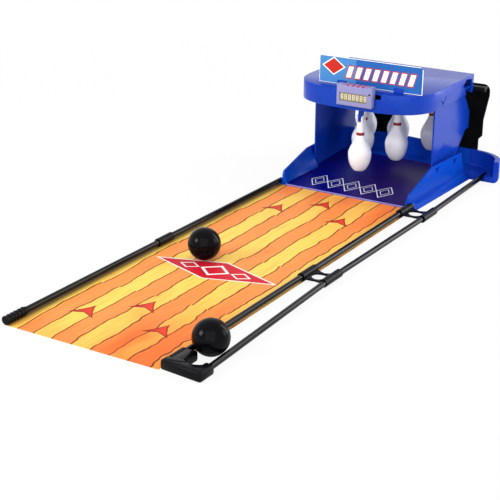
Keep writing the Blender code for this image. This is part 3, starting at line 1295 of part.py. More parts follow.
def make_backstop():
    """The bar behind the house and the two rubber flaps that hang on it to stop the ball."""
    bar_front = from_front(HOOD_REAR_FROM_FRONT) + TOUCH_GAP
    bar_rear = from_front(BACKSTOP_FROM_FRONT) - TOUCH_GAP
    low = (BACKSTOP_BAR_LEFT_X, bar_front, BACKSTOP_BAR_TOP - BACKSTOP_BAR_HEIGHT)
    bar = make_box("backstop_bar", low, (BACKSTOP_BAR_RIGHT_X, bar_rear, BACKSTOP_BAR_TOP), BLACK)
    round_edges(bar, SLEEVE_CHAMFER)
    rear = from_front(BACKSTOP_FROM_FRONT)
    for side, edge in (("left", BACKSTOP_LEFT_FLAP_X + BACKSTOP_FLAP_WIDTH), ("right", BACKSTOP_RIGHT_FLAP_X)):
        outline = flap_outline(edge - BACKSTOP_FLAP_WIDTH / 2)
        make_prism("backstop_flap_" + side, outline, rear, rear + BACKSTOP_FLAP_THICKNESS, IN_XZ, RUBBER)


def flap_outline(middle):
    """A flap that narrows to a stepped foot, round at its upper corners."""
    half = BACKSTOP_FLAP_WIDTH / 2
    corner = BACKSTOP_FLAP_CORNER
    top = BACKSTOP_FLAP_TOP
    right = [
        (half - BACKSTOP_FLAP_STEP_IN - BACKSTOP_FLAP_TAPER, BACKSTOP_FLAP_BOTTOM),
        (half - BACKSTOP_FLAP_STEP_IN - BACKSTOP_FLAP_TAPER, BACKSTOP_FLAP_STEP_HEIGHT - BACKSTOP_FLAP_STEP_IN),
        (half - BACKSTOP_FLAP_TAPER, BACKSTOP_FLAP_STEP_HEIGHT),
        (half - BACKSTOP_FLAP_TAPER, BACKSTOP_FLAP_WAIST_HEIGHT),
        (half, BACKSTOP_FLAP_SHOULDER_HEIGHT),
    ]
    right += arc((half - corner, top - corner), corner, 0.0, 90.0, SIGN_CORNER_STEPS)
    left = [(-across, up) for across, up in reversed(right)]
    return [(middle + across, up) for across, up in right + left]


def make_balls():
    """The ball in play on the mat and the ball that has come back to the end stop."""
    played_z = MAT_THICKNESS + TOUCH_GAP + BALL_RADIUS
    played = make_sphere("ball_1", BALL_RADIUS, BALL_BLACK)
    played.location = (PLAYED_BALL_X, from_front(PLAYED_BALL_FROM_FRONT), played_z)
    returned = make_sphere("ball_2", BALL_RADIUS, BALL_BLACK)
    returned.location = returned_ball_place()


make_lane_mat()
make_straight_rails()
make_outer_rail()
make_left_sleeves()
bend_points = outer_rail_points()
make_spacer("near_spacer", NEAR_SPACER_FROM_FRONT, bend_points[0:3])
make_spacer("far_spacer", FAR_SPACER_FROM_FRONT, bend_points[1:4])
make_end_stop()
make_deck_tub()
make_return_tray()
make_house_wall("left", -1.0)
make_house_wall("right", 1.0)
make_hood()
make_carrier()
make_pins()
make_counter()
make_sign()
make_backstop()
make_balls()
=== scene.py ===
"""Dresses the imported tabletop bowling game: finishes, prints and the fine surface of each piece.

Everything is in metres in the part's frame: +X to the ball return, +Y from the player to the pins, +Z up. Each print
is a pattern worked out from a point's own place on its piece, and no picture is read.
"""
from __future__ import annotations

import json
import logging
import math
from dataclasses import dataclass, field
from enum import Enum
from typing import Any, Callable, Mapping, Sequence, Union

import bmesh
import bpy
from mathutils import Matrix, Vector

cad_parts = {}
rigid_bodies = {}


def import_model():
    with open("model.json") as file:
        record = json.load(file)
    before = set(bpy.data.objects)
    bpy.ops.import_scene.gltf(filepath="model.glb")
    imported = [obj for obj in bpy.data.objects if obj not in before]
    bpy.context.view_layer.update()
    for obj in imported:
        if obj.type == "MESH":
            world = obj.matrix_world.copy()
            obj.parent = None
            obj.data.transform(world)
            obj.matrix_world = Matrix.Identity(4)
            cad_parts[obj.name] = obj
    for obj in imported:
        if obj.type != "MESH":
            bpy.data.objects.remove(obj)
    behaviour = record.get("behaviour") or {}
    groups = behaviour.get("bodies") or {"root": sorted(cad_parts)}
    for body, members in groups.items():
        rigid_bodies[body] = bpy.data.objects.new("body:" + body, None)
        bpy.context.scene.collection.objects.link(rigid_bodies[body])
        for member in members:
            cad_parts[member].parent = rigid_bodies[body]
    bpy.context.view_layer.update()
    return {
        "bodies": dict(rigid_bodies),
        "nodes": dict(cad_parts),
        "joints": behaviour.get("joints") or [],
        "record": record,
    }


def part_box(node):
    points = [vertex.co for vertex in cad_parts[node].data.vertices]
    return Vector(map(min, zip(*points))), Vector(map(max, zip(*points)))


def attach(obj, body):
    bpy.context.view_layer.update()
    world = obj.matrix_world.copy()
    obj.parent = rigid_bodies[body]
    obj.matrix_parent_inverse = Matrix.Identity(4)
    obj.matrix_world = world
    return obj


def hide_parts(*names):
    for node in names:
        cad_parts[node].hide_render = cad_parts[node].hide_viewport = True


LOG = logging.getLogger("bowling_game")

Pair = tuple[float, float]
Triple = tuple[float, float, float]
Colour = Triple

BUMP_STRENGTH = 0.3
GRAIN_DEPTH = 0.00003
MERGE_DISTANCE = 0.000002
FLAT_DEGREES = 0.5
SHARP_DEGREES = 35.0
EASED_DEGREES = 40.0
EASE_SEGMENTS = 2


class Slot(Enum):
    """The record's material slots."""

    LANE = "lane_print"
    TUBE = "rail_tube"
    FITTING = "black_fitting"
    BLUE = "blue_moulding"
    PIN = "pin_white"
    STEEL = "steel_wire"
    COUNTER = "counter_grey"
    LENS = "counter_lens"
    DISPLAY = "display_face"
    BOARD = "circuit_board"
    SIGN = "sign_print"
    RUBBER = "flap_rubber"
    BALL = "ball_black"


class Signal:
    """One value in a material's nodes; arithmetic on it adds Math nodes."""

    def __init__(self, drawing: "Drawing", socket: bpy.types.NodeSocket) -> None:
        """Wraps an output socket of the drawing."""
        self.drawing = drawing
        self.socket = socket

    def __add__(self, other: "Number") -> "Signal":
        """The sum."""
        return self.drawing.maths("ADD", self, other)

    def __sub__(self, other: "Number") -> "Signal":
        """The difference."""
        return self.drawing.maths("SUBTRACT", self, other)

    def __rsub__(self, other: "Number") -> "Signal":
        """The difference, the other way round."""
        return self.drawing.maths("SUBTRACT", other, self)

    def __mul__(self, other: "Number") -> "Signal":
        """The product, which is also what two masks share."""
        return self.drawing.maths("MULTIPLY", self, other)

    def __truediv__(self, other: "Number") -> "Signal":
        """The quotient."""
        return self.drawing.maths("DIVIDE", self, other)

    def __abs__(self) -> "Signal":
        """The size without its sign."""
        return self.drawing.maths("ABSOLUTE", self)

    def __pow__(self, power: float) -> "Signal":
        """The power."""
        return self.drawing.maths("POWER", self, power)

    def __or__(self, other: "Number") -> "Signal":
        """The larger of two, which joins two masks."""
        return self.drawing.maths("MAXIMUM", self, other)

    def __gt__(self, other: "Number") -> "Signal":
        """A mask of where this is greater."""
        return self.drawing.maths("GREATER_THAN", self, other)

    def __lt__(self, other: "Number") -> "Signal":
        """A mask of where this is less."""
        return self.drawing.maths("LESS_THAN", self, other)

    def floor(self) -> "Signal":
        """The whole number below."""
        return self.drawing.maths("FLOOR", self)

    def fraction(self) -> "Signal":
        """What is left above the whole number below."""
        return self.drawing.maths("FRACT", self)

    def between(self, low: float, high: float) -> "Signal":
        """A mask of where this lies between two values."""
        return (self > low) * (self < high)

    def fade(self, start: float, end: float) -> "Signal":
        """Runs from 0 at start to 1 at end, held there beyond."""
        sockets = {"Value": self, "From Min": start, "From Max": end}
        settings = {"clamp": True, "interpolation_type": "SMOOTHSTEP"}
        node = self.drawing.add("ShaderNodeMapRange", settings, sockets)
        return Signal(self.drawing, node.outputs["Result"])


Number = Union[Signal, float]


def lozenge(across: Signal, along: Signal, half: Pair) -> Signal:
    """A value that is 1 on the edge of a lozenge with these half sizes, and less inside it."""
    return across / half[0] + along / half[1]


@dataclass(frozen=True)
class Gloss:
    """How a surface shines."""

    roughness: float = 0.35
    metallic: float = 0.0
    alpha: float = 1.0
    ior: float = 1.5


class Drawing:
    """A material under construction."""

    def __init__(self, name: str, gloss: Gloss) -> None:
        """Starts a Principled material with a plain gloss.

        Args:
            name: The material's name.
            gloss: How the surface shines where nothing varies it.
        """
        self.material = bpy.data.materials.new(name)
        self.material.use_nodes = True
        self.shader = self.material.node_tree.nodes["Principled BSDF"]
        self.shader.inputs["Roughness"].default_value = gloss.roughness
        self.shader.inputs["Metallic"].default_value = gloss.metallic
        self.shader.inputs["Alpha"].default_value = gloss.alpha
        self.shader.inputs["IOR"].default_value = gloss.ior

    def add(
        self,
        kind: str,
        settings: Mapping[str, Any] | None = None,
        sockets: Mapping[Any, Any] | None = None,
    ) -> bpy.types.Node:
        """Adds a node.

        Args:
            kind: The node's type.
            settings: Attributes of the node, set before its sockets.
            sockets: Values, colours or signals for its inputs, by name or number.

        Returns:
            The node.
        """
        node = self.material.node_tree.nodes.new(kind)
        for key, value in (settings or {}).items():
            setattr(node, key, value)
        for key, value in (sockets or {}).items():
            if isinstance(value, Signal):
                self.material.node_tree.links.new(value.socket, node.inputs[key])
            elif isinstance(value, tuple) and len(node.inputs[key].default_value) == 4:
                node.inputs[key].default_value = (*value, 1.0)
            else:
                node.inputs[key].default_value = value
        return node

    def maths(self, operation: str, *values: Number) -> Signal:
        """A Math node's result."""
        node = self.add("ShaderNodeMath", {"operation": operation}, dict(enumerate(values)))
        return Signal(self, node.outputs[0])

    def coordinates(self) -> Signal:
        """The point's own place on the piece, in metres."""
        return Signal(self, self.add("ShaderNodeTexCoord").outputs["Object"])

    def place(self) -> tuple[Signal, Signal, Signal]:
        """The point's own X, Y and Z on the piece, in metres."""
        split = self.add("ShaderNodeSeparateXYZ", {}, {0: self.coordinates()})
        return tuple(Signal(self, output) for output in split.outputs)

    def noise(self, scale: Triple, detail: float = 2.0) -> Signal:
        """Smooth noise from 0 to 1, with its own scale along each axis."""
        sockets = {0: self.coordinates(), 1: scale}
        stretched = self.add("ShaderNodeVectorMath", {"operation": "MULTIPLY"}, sockets)
        sockets = {"Vector": Signal(self, stretched.outputs[0]), "Scale": 1.0, "Detail": detail}
        return Signal(self, self.add("ShaderNodeTexNoise", {}, sockets).outputs[0])

    def mix(self, mask: Signal, plain: Signal | Colour, marked: Signal | Colour) -> Signal:
        """One colour with another laid over it where the mask is 1."""
        node = self.add("ShaderNodeMix", {"data_type": "RGBA"}, {0: mask, 6: plain, 7: marked})
        return Signal(self, node.outputs[2])

    def finish(
        self,
        colour: Signal,
        roughness: Signal | None = None,
        height: Signal | None = None,
        depth: float = GRAIN_DEPTH,
    ) -> bpy.types.Material:
        """Links what varies and returns the material.

        Args:
            colour: The base colour.
            roughness: The roughness where it varies.
            height: A bump's height, from 0 to 1.
            depth: How deep the bump is, in metres.

        Returns:
            The finished material.
        """
        links = self.material.node_tree.links
        links.new(colour.socket, self.shader.inputs["Base Color"])
        if roughness is not None:
            links.new(roughness.socket, self.shader.inputs["Roughness"])
        if height is not None:
            sockets = {"Strength": BUMP_STRENGTH, "Distance": depth, "Height": height}
            links.new(self.add("ShaderNodeBump", {}, sockets).outputs[0], self.shader.inputs["Normal"])
        return self.material


@dataclass(frozen=True)
class Moulding:
    """A moulded or coated finish of one colour, with the unevenness that such surfaces have."""

    name: str
    colour: Colour
    gloss: Gloss
    mottle: float = 0.06
    pale_divisor: float = 50.0
    roughness_low: float = 0.85
    roughness_swing: float = 0.3
    grain_scale: float = 900.0
    grain_depth: float = 0.00004
    cloud_scale: float = 30.0

    def start(self) -> tuple[Drawing, Signal, Signal, Signal]:
        """Starts the drawing.

        Returns:
            The drawing, its base colour, its roughness and its grain.
        """
        drawing = Drawing(self.name, self.gloss)
        cloud = drawing.noise((self.cloud_scale,) * 3)
        grain = drawing.noise((self.grain_scale,) * 3)
        lift = self.mottle / self.pale_divisor
        lighter = tuple(min(1.0, part * (1.0 + self.mottle) + lift) for part in self.colour)
        darker = tuple(part * (1.0 - self.mottle) for part in self.colour)
        colour = drawing.mix(cloud, darker, lighter)
        rough = self.gloss.roughness
        roughness = cloud * (rough * self.roughness_swing) + rough * self.roughness_low
        return drawing, colour, roughness, grain

    def material(self) -> bpy.types.Material:
        """The finished material."""
        drawing, colour, roughness, grain = self.start()
        return drawing.finish(colour, roughness, grain, self.grain_depth)


BLUE = Moulding("royal_blue_moulding", (0.003, 0.042, 0.420), Gloss(0.20, ior=1.26))
# the same blue moulding as BLUE, made lighter: painted sheen that makes up for the gloss its low IOR takes away
SHEEN_LIGHTENED_DECK_BLUE = Moulding("deck_blue_moulding_painted_sheen", (0.003, 0.066, 0.530), Gloss(0.16, ior=1.13))
FITTING = Moulding("black_fitting", (0.002, 0.002, 0.003), Gloss(0.24, ior=1.18))
TUBE = Moulding("black_coated_tube", (0.0010, 0.0010, 0.0018), Gloss(0.12, ior=1.25))
STEEL = Moulding("bright_wire", (0.62, 0.62, 0.64), Gloss(0.25, metallic=1.0))
BALL = Moulding("black_ball_resin", (0.002, 0.0018, 0.003), Gloss(0.12, ior=1.16), cloud_scale=60.0)
RUBBER = Moulding("black_flap_rubber", (0.0012, 0.0010, 0.0010), Gloss(0.42, ior=1.12), mottle=0.25)
PIN = Moulding("white_pin_moulding", (0.91, 0.92, 0.97), Gloss(0.22, ior=1.4), mottle=0.01)
COUNTER = Moulding("lavender_grey_moulding", (0.25, 0.26, 0.51), Gloss(0.35, ior=1.35), mottle=0.04)
LENS = Moulding("clear_lens", (0.85, 0.85, 0.78), Gloss(0.05, alpha=0.06))
DISPLAY = Moulding("olive_display", (0.17, 0.15, 0.055), Gloss(0.4))
DIGIT = Moulding("cream_digit", (0.85, 0.80, 0.55), Gloss(0.4))
BOARD = Moulding("circuit_lacquer", (0.02, 0.20, 0.06), Gloss(0.35))


@dataclass(frozen=True)
class LanePrint:
    """The mat's print: wandering boards in two tones, with lane arrows and a red lozenge.

    A pair that names a stretch of the mat runs from where a tone starts to where it is full. The two pairs of a
    corner are its stretches across and along the mat.
    """

    gloss: Gloss = Gloss(0.45, ior=1.18)
    yellow: Colour = (1.0, 0.66, 0.120)
    orange: Colour = (1.0, 0.31, 0.075)
    deep_orange: Colour = (0.86, 0.095, 0.008)
    line: Colour = (0.15, 0.022, 0.002)
    # dark brown along the left rail: partly print, partly the rail's painted shadow on the mat
    rim: Colour = (0.055, 0.016, 0.004)
    ochre: Colour = (0.55, 0.22, 0.020)
    red: Colour = (0.80, 0.050, 0.026)
    dark_red: Colour = (0.16, 0.014, 0.006)
    crimson: Colour = (0.62, 0.012, 0.030)
    white: Colour = (0.97, 0.95, 0.90)

    pitch: float = 0.0288
    first_edge: float = -0.1050
    wander_detail: float = 1.0
    sway: float = 0.016
    sway_scale: Triple = (11.0, 9.0, 1.0)
    bend: float = 0.0064
    corner_bend: float = 0.0080
    bend_scale: Triple = (34.0, 40.0, 1.0)
    plank: float = 0.180
    plank_end: float = -0.507
    plank_drift: float = 0.0026

    glow_scale: Triple = (14.0, 6.0, 1.0)
    glow_range: Pair = (0.48, 0.72)
    glow_weight: float = 0.30
    glow_on_orange: float = 0.25
    near_end: Pair = (-0.600, -0.678)
    near_end_weight: float = 0.35
    far_end: Pair = (-0.075, -0.012)
    far_end_weight: float = 0.50
    near_corner: tuple[Pair, Pair] = ((-0.060, 0.090), (-0.400, -0.640))
    far_corner: tuple[Pair, Pair] = ((-0.020, 0.120), (-0.240, -0.030))
    far_corner_weight: float = 0.60
    tone_weight: float = 0.6
    tone_glow: float = 0.4

    streak_detail: float = 3.0
    streak_scale: Triple = (360.0, 13.0, 1.0)
    streak_range: Pair = (0.48, 0.76)
    streak_weight: float = 0.34
    pale_scale: Triple = (300.0, 9.0, 4.0)
    pale_range: Pair = (0.55, 0.80)
    pale_weight: float = 0.24
    grain_scale: Triple = (600.0, 40.0, 1.0)

    line_half_width: float = 0.00068
    line_blur: float = 2.2
    line_weight: float = 0.95
    rim_stretch: Pair = (-0.1080, -0.1215)
    rim_weight: float = 0.92
    ochre_stretch: Pair = (0.1170, 0.1210)
    ochre_weight: float = 0.60

    arrow_length: float = 0.036
    arrow_half_width: float = 0.0205
    arrow_hollow: float = 1.35
    arrow_notch: float = 0.24
    outline_at_sides: Pair = (0.00, 0.16)
    outline_at_foot: Pair = (0.00, 0.10)
    shade_stretch: Pair = (0.20, -0.70)
    shade_weight: float = 0.55
    arrow_tips: tuple[Pair, ...] = (
        (-0.0630, -0.5720),
        (-0.0060, -0.5185),
        (0.0522, -0.5710),
        (-0.0635, -0.0930),
        (-0.0070, -0.0420),
        (0.0512, -0.0980),
    )

    lozenge_at: Pair = (0.0, -0.389)
    lozenge_half: Pair = (0.100, 0.034)
    lozenge_face: float = 0.93
    side_ring_at: float = 0.042
    side_ring_half: Pair = (0.018, 0.012)
    middle_ring_half: Pair = (0.026, 0.022)
    ring_band: Pair = (0.70, 0.92)

    def material(self) -> bpy.types.Material:
        """The finished print."""
        drawing = Drawing("printed_lane", self.gloss)
        x, y, _ = drawing.place()
        near_corner = x.fade(*self.near_corner[0]) * y.fade(*self.near_corner[1])
        board = self.boards(drawing, x, y, near_corner)
        colour = self.wood(drawing, x, y, near_corner, board)
        colour = self.with_edges(drawing, colour, x, board)
        for tip_x, tip_y in self.arrow_tips:
            colour = self.with_arrow(drawing, colour, x - tip_x, y - (tip_y - self.arrow_length))
        colour = self.with_lozenge(drawing, colour, x, y)
        return drawing.finish(colour, height=drawing.noise(self.grain_scale))

    def boards(self, drawing: Drawing, x: Signal, y: Signal, near_corner: Signal) -> Signal:
        """Counts the boards across the mat; their edges wander and jog at each plank's end."""
        sway = (drawing.noise(self.sway_scale, self.wander_detail) - 0.5) * self.sway
        bend = drawing.noise(self.bend_scale, self.wander_detail) - 0.5
        bend = bend * (near_corner * self.corner_bend + self.bend)
        drift = (((y - self.plank_end) / self.plank).fraction() - 0.5) * self.plank_drift
        return (x + sway + bend + drift - self.first_edge) / self.pitch

    def wood(self, drawing: Drawing, x: Signal, y: Signal, near_corner: Signal, board: Signal) -> Signal:
        """The boards' colour: two tones in turn, redder at the ends and right corners, with fine streaks."""
        is_orange = 1.0 - drawing.maths("FLOORED_MODULO", board.floor(), 2.0)
        colour = drawing.mix(is_orange, self.yellow, self.orange)
        glow = drawing.noise(self.glow_scale).fade(*self.glow_range)
        colour = drawing.mix(glow * (is_orange * self.glow_on_orange + self.glow_weight), colour, self.orange)
        ends = y.fade(*self.near_end) * self.near_end_weight + y.fade(*self.far_end) * self.far_end_weight
        far_corner = x.fade(*self.far_corner[0]) * y.fade(*self.far_corner[1]) * self.far_corner_weight
        toned = (ends | near_corner | far_corner) * (glow * self.tone_glow + self.tone_weight)
        colour = drawing.mix(toned, colour, self.deep_orange)
        streak = drawing.noise(self.streak_scale, self.streak_detail).fade(*self.streak_range)
        colour = drawing.mix(streak * self.streak_weight, colour, self.deep_orange)
        pale = drawing.noise(self.pale_scale, self.streak_detail).fade(*self.pale_range)
        return drawing.mix(pale * self.pale_weight, colour, self.yellow)

    def with_edges(self, drawing: Drawing, colour: Signal, x: Signal, board: Signal) -> Signal:
        """Lays the dark lines between the boards over the print, then the dark rim along the left rail, which is
        partly print and partly the rail's painted shadow, and the ochre rim along the right edge.
        """
        from_line = (0.5 - abs(board.fraction() - 0.5)) * self.pitch
        line = 1.0 - from_line.fade(self.line_half_width, self.line_half_width * self.line_blur)
        colour = drawing.mix(line * self.line_weight, colour, self.line)
        # the dark rim along the left rail is partly print and partly the rail's painted shadow
        colour = drawing.mix(x.fade(*self.rim_stretch) * self.rim_weight, colour, self.rim)
        return drawing.mix(x.fade(*self.ochre_stretch) * self.ochre_weight, colour, self.ochre)

    def with_arrow(self, drawing: Drawing, colour: Signal, across: Signal, up: Signal) -> Signal:
        """Lays one arrow over the print: a notched foot, slightly hollow sides and a dark outline.

        Args:
            drawing: The print.
            colour: Its colour so far.
            across: The distance to the right of the arrow's middle line.
            up: The distance beyond the arrow's foot, towards the pins.

        Returns:
            The colour with the arrow.
        """
        share = up / self.arrow_length
        side = abs(across) / self.arrow_half_width
        reach = (1.0 - share) ** self.arrow_hollow
        notch = (1.0 - side) * self.arrow_notch
        mask = (side < reach) * (share > notch) * share.between(0.0, 1.0)
        body = (reach - side).fade(*self.outline_at_sides) * (share - notch).fade(*self.outline_at_foot)
        shade = (across / self.arrow_half_width).fade(*self.shade_stretch) * self.shade_weight
        tone = drawing.mix(body * (1.0 - shade), self.dark_red, self.red)
        return drawing.mix(mask, colour, tone)

    def with_lozenge(self, drawing: Drawing, colour: Signal, x: Signal, y: Signal) -> Signal:
        """Lays the red lozenge over the print, with its white edge and inner rings."""
        across = abs(x - self.lozenge_at[0])
        along = abs(y - self.lozenge_at[1])
        reach = lozenge(across, along, self.lozenge_half)
        colour = drawing.mix(reach < 1.0, colour, self.white)
        colour = drawing.mix(reach < self.lozenge_face, colour, self.crimson)
        small = lozenge(abs(across - self.side_ring_at), along, self.side_ring_half)
        middle = lozenge(across, along, self.middle_ring_half)
        for ring in (small, middle):
            colour = drawing.mix(ring.between(*self.ring_band), colour, self.white)
        return colour


@dataclass(frozen=True)
class DeckPrint:
    """The deck's blue, with a navy floor that turns plum towards the right as a painted reflection, and a row of
    white-edged lozenges printed on its sloping floor.

    The floor is found by its height, which rises from the sill at the front by the ramp's slope. The print stops
    short of the rear wall, whose outside meets the same plane.
    """

    sill_height: float = 0.0026
    slope: float = 0.0112 / 0.203
    front: float = -0.007
    floor_half: float = 0.1080
    floor_end: float = 0.1955
    floor_band: float = 0.0012
    floor_matt: float = 0.16
    tone_stretch: Pair = (-0.06, 0.05)
    navy: Colour = (0.0012, 0.0025, 0.180)
    plum: Colour = (0.0180, 0.0050, 0.120)
    white: Colour = (0.80, 0.82, 0.90)
    sill_line: Colour = (0.30, 0.30, 0.70)
    sill_line_width: float = 0.0012
    middle: Pair = (-0.0075, 0.035)
    pitch: float = 0.0300
    half: Pair = (0.0200, 0.0330)
    count: int = 5
    outer_ring: Pair = (0.70, 0.80)
    inner_ring: Pair = (0.38, 0.45)

    def material(self) -> bpy.types.Material:
        """The finished print."""
        drawing, colour, roughness, grain = SHEEN_LIGHTENED_DECK_BLUE.start()
        x, y, z = drawing.place()
        floor = (y - self.front) * self.slope + self.sill_height
        on_floor = (abs(z - floor) < self.floor_band) * (abs(x) < self.floor_half) * (y < self.floor_end)
        # painted reflection: the floor's navy turns plum towards the right
        tone = drawing.mix(x.fade(*self.tone_stretch), self.navy, self.plum)
        colour = drawing.mix(on_floor, colour, tone)
        roughness = roughness + on_floor * self.floor_matt
        on_sill = on_floor * (y < self.front + self.sill_line_width)
        colour = drawing.mix(on_sill, colour, self.sill_line)

        reach = self.pitch * self.count / 2
        inside = abs(x - self.middle[0]) < reach
        step = ((x - self.middle[0] + reach) / self.pitch).fraction() - 0.5
        along = abs(y - self.middle[1])
        shape = abs(step) * (self.pitch / self.half[0]) + along / self.half[1]
        ring = shape.between(*self.outer_ring) | shape.between(*self.inner_ring)
        colour = drawing.mix(ring * inside * on_floor, colour, self.white)
        return drawing.finish(colour, roughness, grain)


@dataclass(frozen=True)
class SignPrint:
    """The sign card's print: two blues, slanted white bars with a red edge and a red lozenge.

    The two pairs of a bar's edge and of its face are shares of the bars' pitch, and heights above the card's foot.
    """

    gloss: Gloss = Gloss(0.35, ior=1.15)
    foot: float = 0.1739
    height: float = 0.0440
    left: float = -0.0720
    right: float = 0.1100
    rim: float = 0.0008
    split: float = -0.0060
    split_blur: float = 0.0012
    cyan: Colour = (0.070, 0.25, 0.56)
    blue: Colour = (0.015, 0.105, 0.41)
    white: Colour = (0.93, 0.95, 0.97)
    red: Colour = (0.55, 0.03, 0.02)
    cloud_scale: Triple = (40.0, 1.0, 40.0)
    cloud_weight: float = 0.25
    cloud_depth: float = 0.00002
    bar_pitch: float = 0.0155
    first_bar: float = -2.0
    bars: int = 8
    slant: float = 0.30
    bar_edge: tuple[Pair, Pair] = ((0.12, 0.88), (0.0105, 0.0325))
    bar_face: tuple[Pair, Pair] = ((0.22, 0.78), (0.0122, 0.0308))
    lozenge_at: Pair = (-0.046, 0.202)
    lozenge_half: Pair = (0.0210, 0.0150)
    lozenge_face: float = 0.86

    def material(self) -> bpy.types.Material:
        """The finished print."""
        drawing = Drawing("printed_card", self.gloss)
        x, _, z = drawing.place()
        up = z - self.foot
        cloud = drawing.noise(self.cloud_scale)
        is_blue = (x - self.split).fade(-self.split_blur, self.split_blur)
        colour = drawing.mix(is_blue, self.cyan, self.blue)
        colour = drawing.mix(cloud * self.cloud_weight, colour, self.cyan)

        place = (x - up * self.slant) / self.bar_pitch
        bar = place.fraction()
        row = place.between(self.first_bar, self.first_bar + self.bars)
        for (across, upward), tone in ((self.bar_edge, self.red), (self.bar_face, self.white)):
            colour = drawing.mix(row * up.between(*upward) * bar.between(*across), colour, tone)

        reach = lozenge(abs(x - self.lozenge_at[0]), abs(z - self.lozenge_at[1]), self.lozenge_half)
        colour = drawing.mix(reach < 1.0, colour, self.white)
        colour = drawing.mix(reach < self.lozenge_face, colour, self.red)
        inside = x.between(self.left + self.rim, self.right - self.rim)
        inside = inside * up.between(self.rim, self.height - self.rim)
        colour = drawing.mix(inside, self.white, colour)
        return drawing.finish(colour, height=cloud, depth=self.cloud_depth)


@dataclass(frozen=True)
class PinFinish:
    """White pin plastic with a dark red stripe round each neck.

    The pins hang in rows, each a little higher than the one before it, so the stripe's height goes by the row.
    """

    first_row_y: float = 0.0444
    row_step: float = 0.0726
    row_rise: float = 0.0046
    stripe: Pair = (0.0915, 0.0965)
    red: Colour = (0.28, 0.006, 0.012)

    def material(self) -> bpy.types.Material:
        """The finished material."""
        drawing, colour, roughness, grain = PIN.start()
        _, y, z = drawing.place()
        row = ((y - self.first_row_y) / self.row_step + 0.5).floor()
        level = z - row * self.row_rise
        colour = drawing.mix(level.between(*self.stripe), colour, self.red)
        return drawing.finish(colour, roughness, grain)


@dataclass(frozen=True)
class CounterFinish:
    """Lavender-grey plastic with a hairline seam above the window and short red dashes at the top."""

    seam_x: float = 0.0057
    seam_half_width: float = 0.0002
    seam_weight: float = 0.6
    seam: Colour = (0.12, 0.12, 0.30)
    window_top: float = 0.1692
    dash: Colour = (0.35, 0.02, 0.12)
    dash_low: float = 0.1805
    dash_pitch: float = 0.0090
    dash_share: Pair = (0.2, 0.8)
    dash_row: Pair = (-0.012, 0.030)

    def material(self) -> bpy.types.Material:
        """The finished material."""
        drawing, colour, roughness, grain = COUNTER.start()
        x, _, z = drawing.place()
        seam = (abs(x - self.seam_x) < self.seam_half_width) * (z > self.window_top)
        colour = drawing.mix(seam * self.seam_weight, colour, self.seam)
        dash = (z > self.dash_low) * (x / self.dash_pitch).fraction().between(*self.dash_share)
        colour = drawing.mix(dash * x.between(*self.dash_row), colour, self.dash)
        return drawing.finish(colour, roughness, grain)


def new_object(name: str, data: bpy.types.ID) -> bpy.types.Object:
    """Makes an object from its data and puts it in the scene."""
    made = bpy.data.objects.new(name, data)
    bpy.context.scene.collection.objects.link(made)
    return made


def in_order(parts: Any, key: Callable[[Any], Any]) -> None:
    """Sorts a shape's points, edges or faces."""
    rank = {part: number for number, part in enumerate(sorted(parts, key=key))}
    parts.sort(key=rank.get)
    parts.index_update()


def settle(shape: bmesh.types.BMesh) -> None:
    """Gives a shape's points, edges and faces an order that is the same in each run."""
    in_order(shape.verts, lambda vertex: tuple(vertex.co))
    for parts in (shape.edges, shape.faces):
        in_order(parts, lambda part: sorted(vertex.index for vertex in part.verts))


@dataclass
class Workshop:
    """Makes pieces from the frame's nodes and puts them on their bodies."""

    frame: Mapping[str, Any]
    body_of: dict[str, str] = field(default_factory=dict)
    slot_of: dict[str, str] = field(default_factory=dict)

    def __post_init__(self) -> None:
        """Reads which body and material slot each node has."""
        record = self.frame["record"]
        for body, nodes in record["behaviour"]["bodies"].items():
            self.body_of.update({node: body for node in nodes})
        self.slot_of.update({row["node"]: Slot(row["material_slot"]).value for row in record["subparts"]})

    def paint(self, node: str, material: bpy.types.Material) -> None:
        """Gives a node that stays as it is a new material."""
        slots = self.frame["nodes"][node].data.materials
        slots.clear()
        slots.append(material)
        LOG.info("%s keeps its solid, in %s", node, material.name)

    def stand_in(self, piece: bpy.types.Object, node: str, material: bpy.types.Material) -> None:
        """Puts a new piece in a node's place and on its body, with its finish.

        Args:
            piece: The new piece, at the origin with its place in its mesh.
            node: The node that it stands for.
            material: Its finish.
        """
        piece.data.materials.append(material)
        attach(piece, self.body_of[node])
        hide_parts(node)
        LOG.info("%s stands for %s, in %s", piece.name, node, material.name)

    def add_piece(self, piece: bpy.types.Object, beside: str, slot: Slot, material: bpy.types.Material) -> None:
        """Puts a piece that no node stands for on the body of the node beside it."""
        piece.data.materials.append(material)
        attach(piece, self.body_of[beside])
        LOG.info("%s is added beside %s", piece.name, beside)

    def new_piece(self, name: str, shape: bmesh.types.BMesh) -> bpy.types.Object:
        """Turns a bmesh into a smooth-shaded piece with its sharp edges kept."""
        mesh = bpy.data.meshes.new(name)
        shape.to_mesh(mesh)
        shape.free()
        mesh.shade_smooth()
        mesh.set_sharp_from_angle(angle=math.radians(SHARP_DEGREES))
        return new_object(name, mesh)

    def refine(self, node: str, material: bpy.types.Material, width: float) -> None:
        """Puts a merged, smooth-shaded copy of a node in its place, with its edges eased.

        Args:
            node: The node to copy.
            material: Its finish.
            width: How wide the eased edges are; 0 leaves them sharp.
        """
        shape = bmesh.new()
        shape.from_mesh(self.frame["nodes"][node].data)
        bmesh.ops.remove_doubles(shape, verts=shape.verts, dist=MERGE_DISTANCE)
        bmesh.ops.dissolve_limit(
            shape,
            angle_limit=math.radians(FLAT_DEGREES),
            verts=shape.verts,
            edges=shape.edges,
            delimit=set(),
        )
        piece = self.new_piece(node + "_finished", shape)
        if width > 0.0:
            ease = piece.modifiers.new("eased_edges", "BEVEL")
            ease.width = width
            ease.segments = EASE_SEGMENTS
            ease.limit_method = "ANGLE"
            ease.angle_limit = math.radians(EASED_DEGREES)
            ease.harden_normals = True
        self.stand_in(piece, node, material)


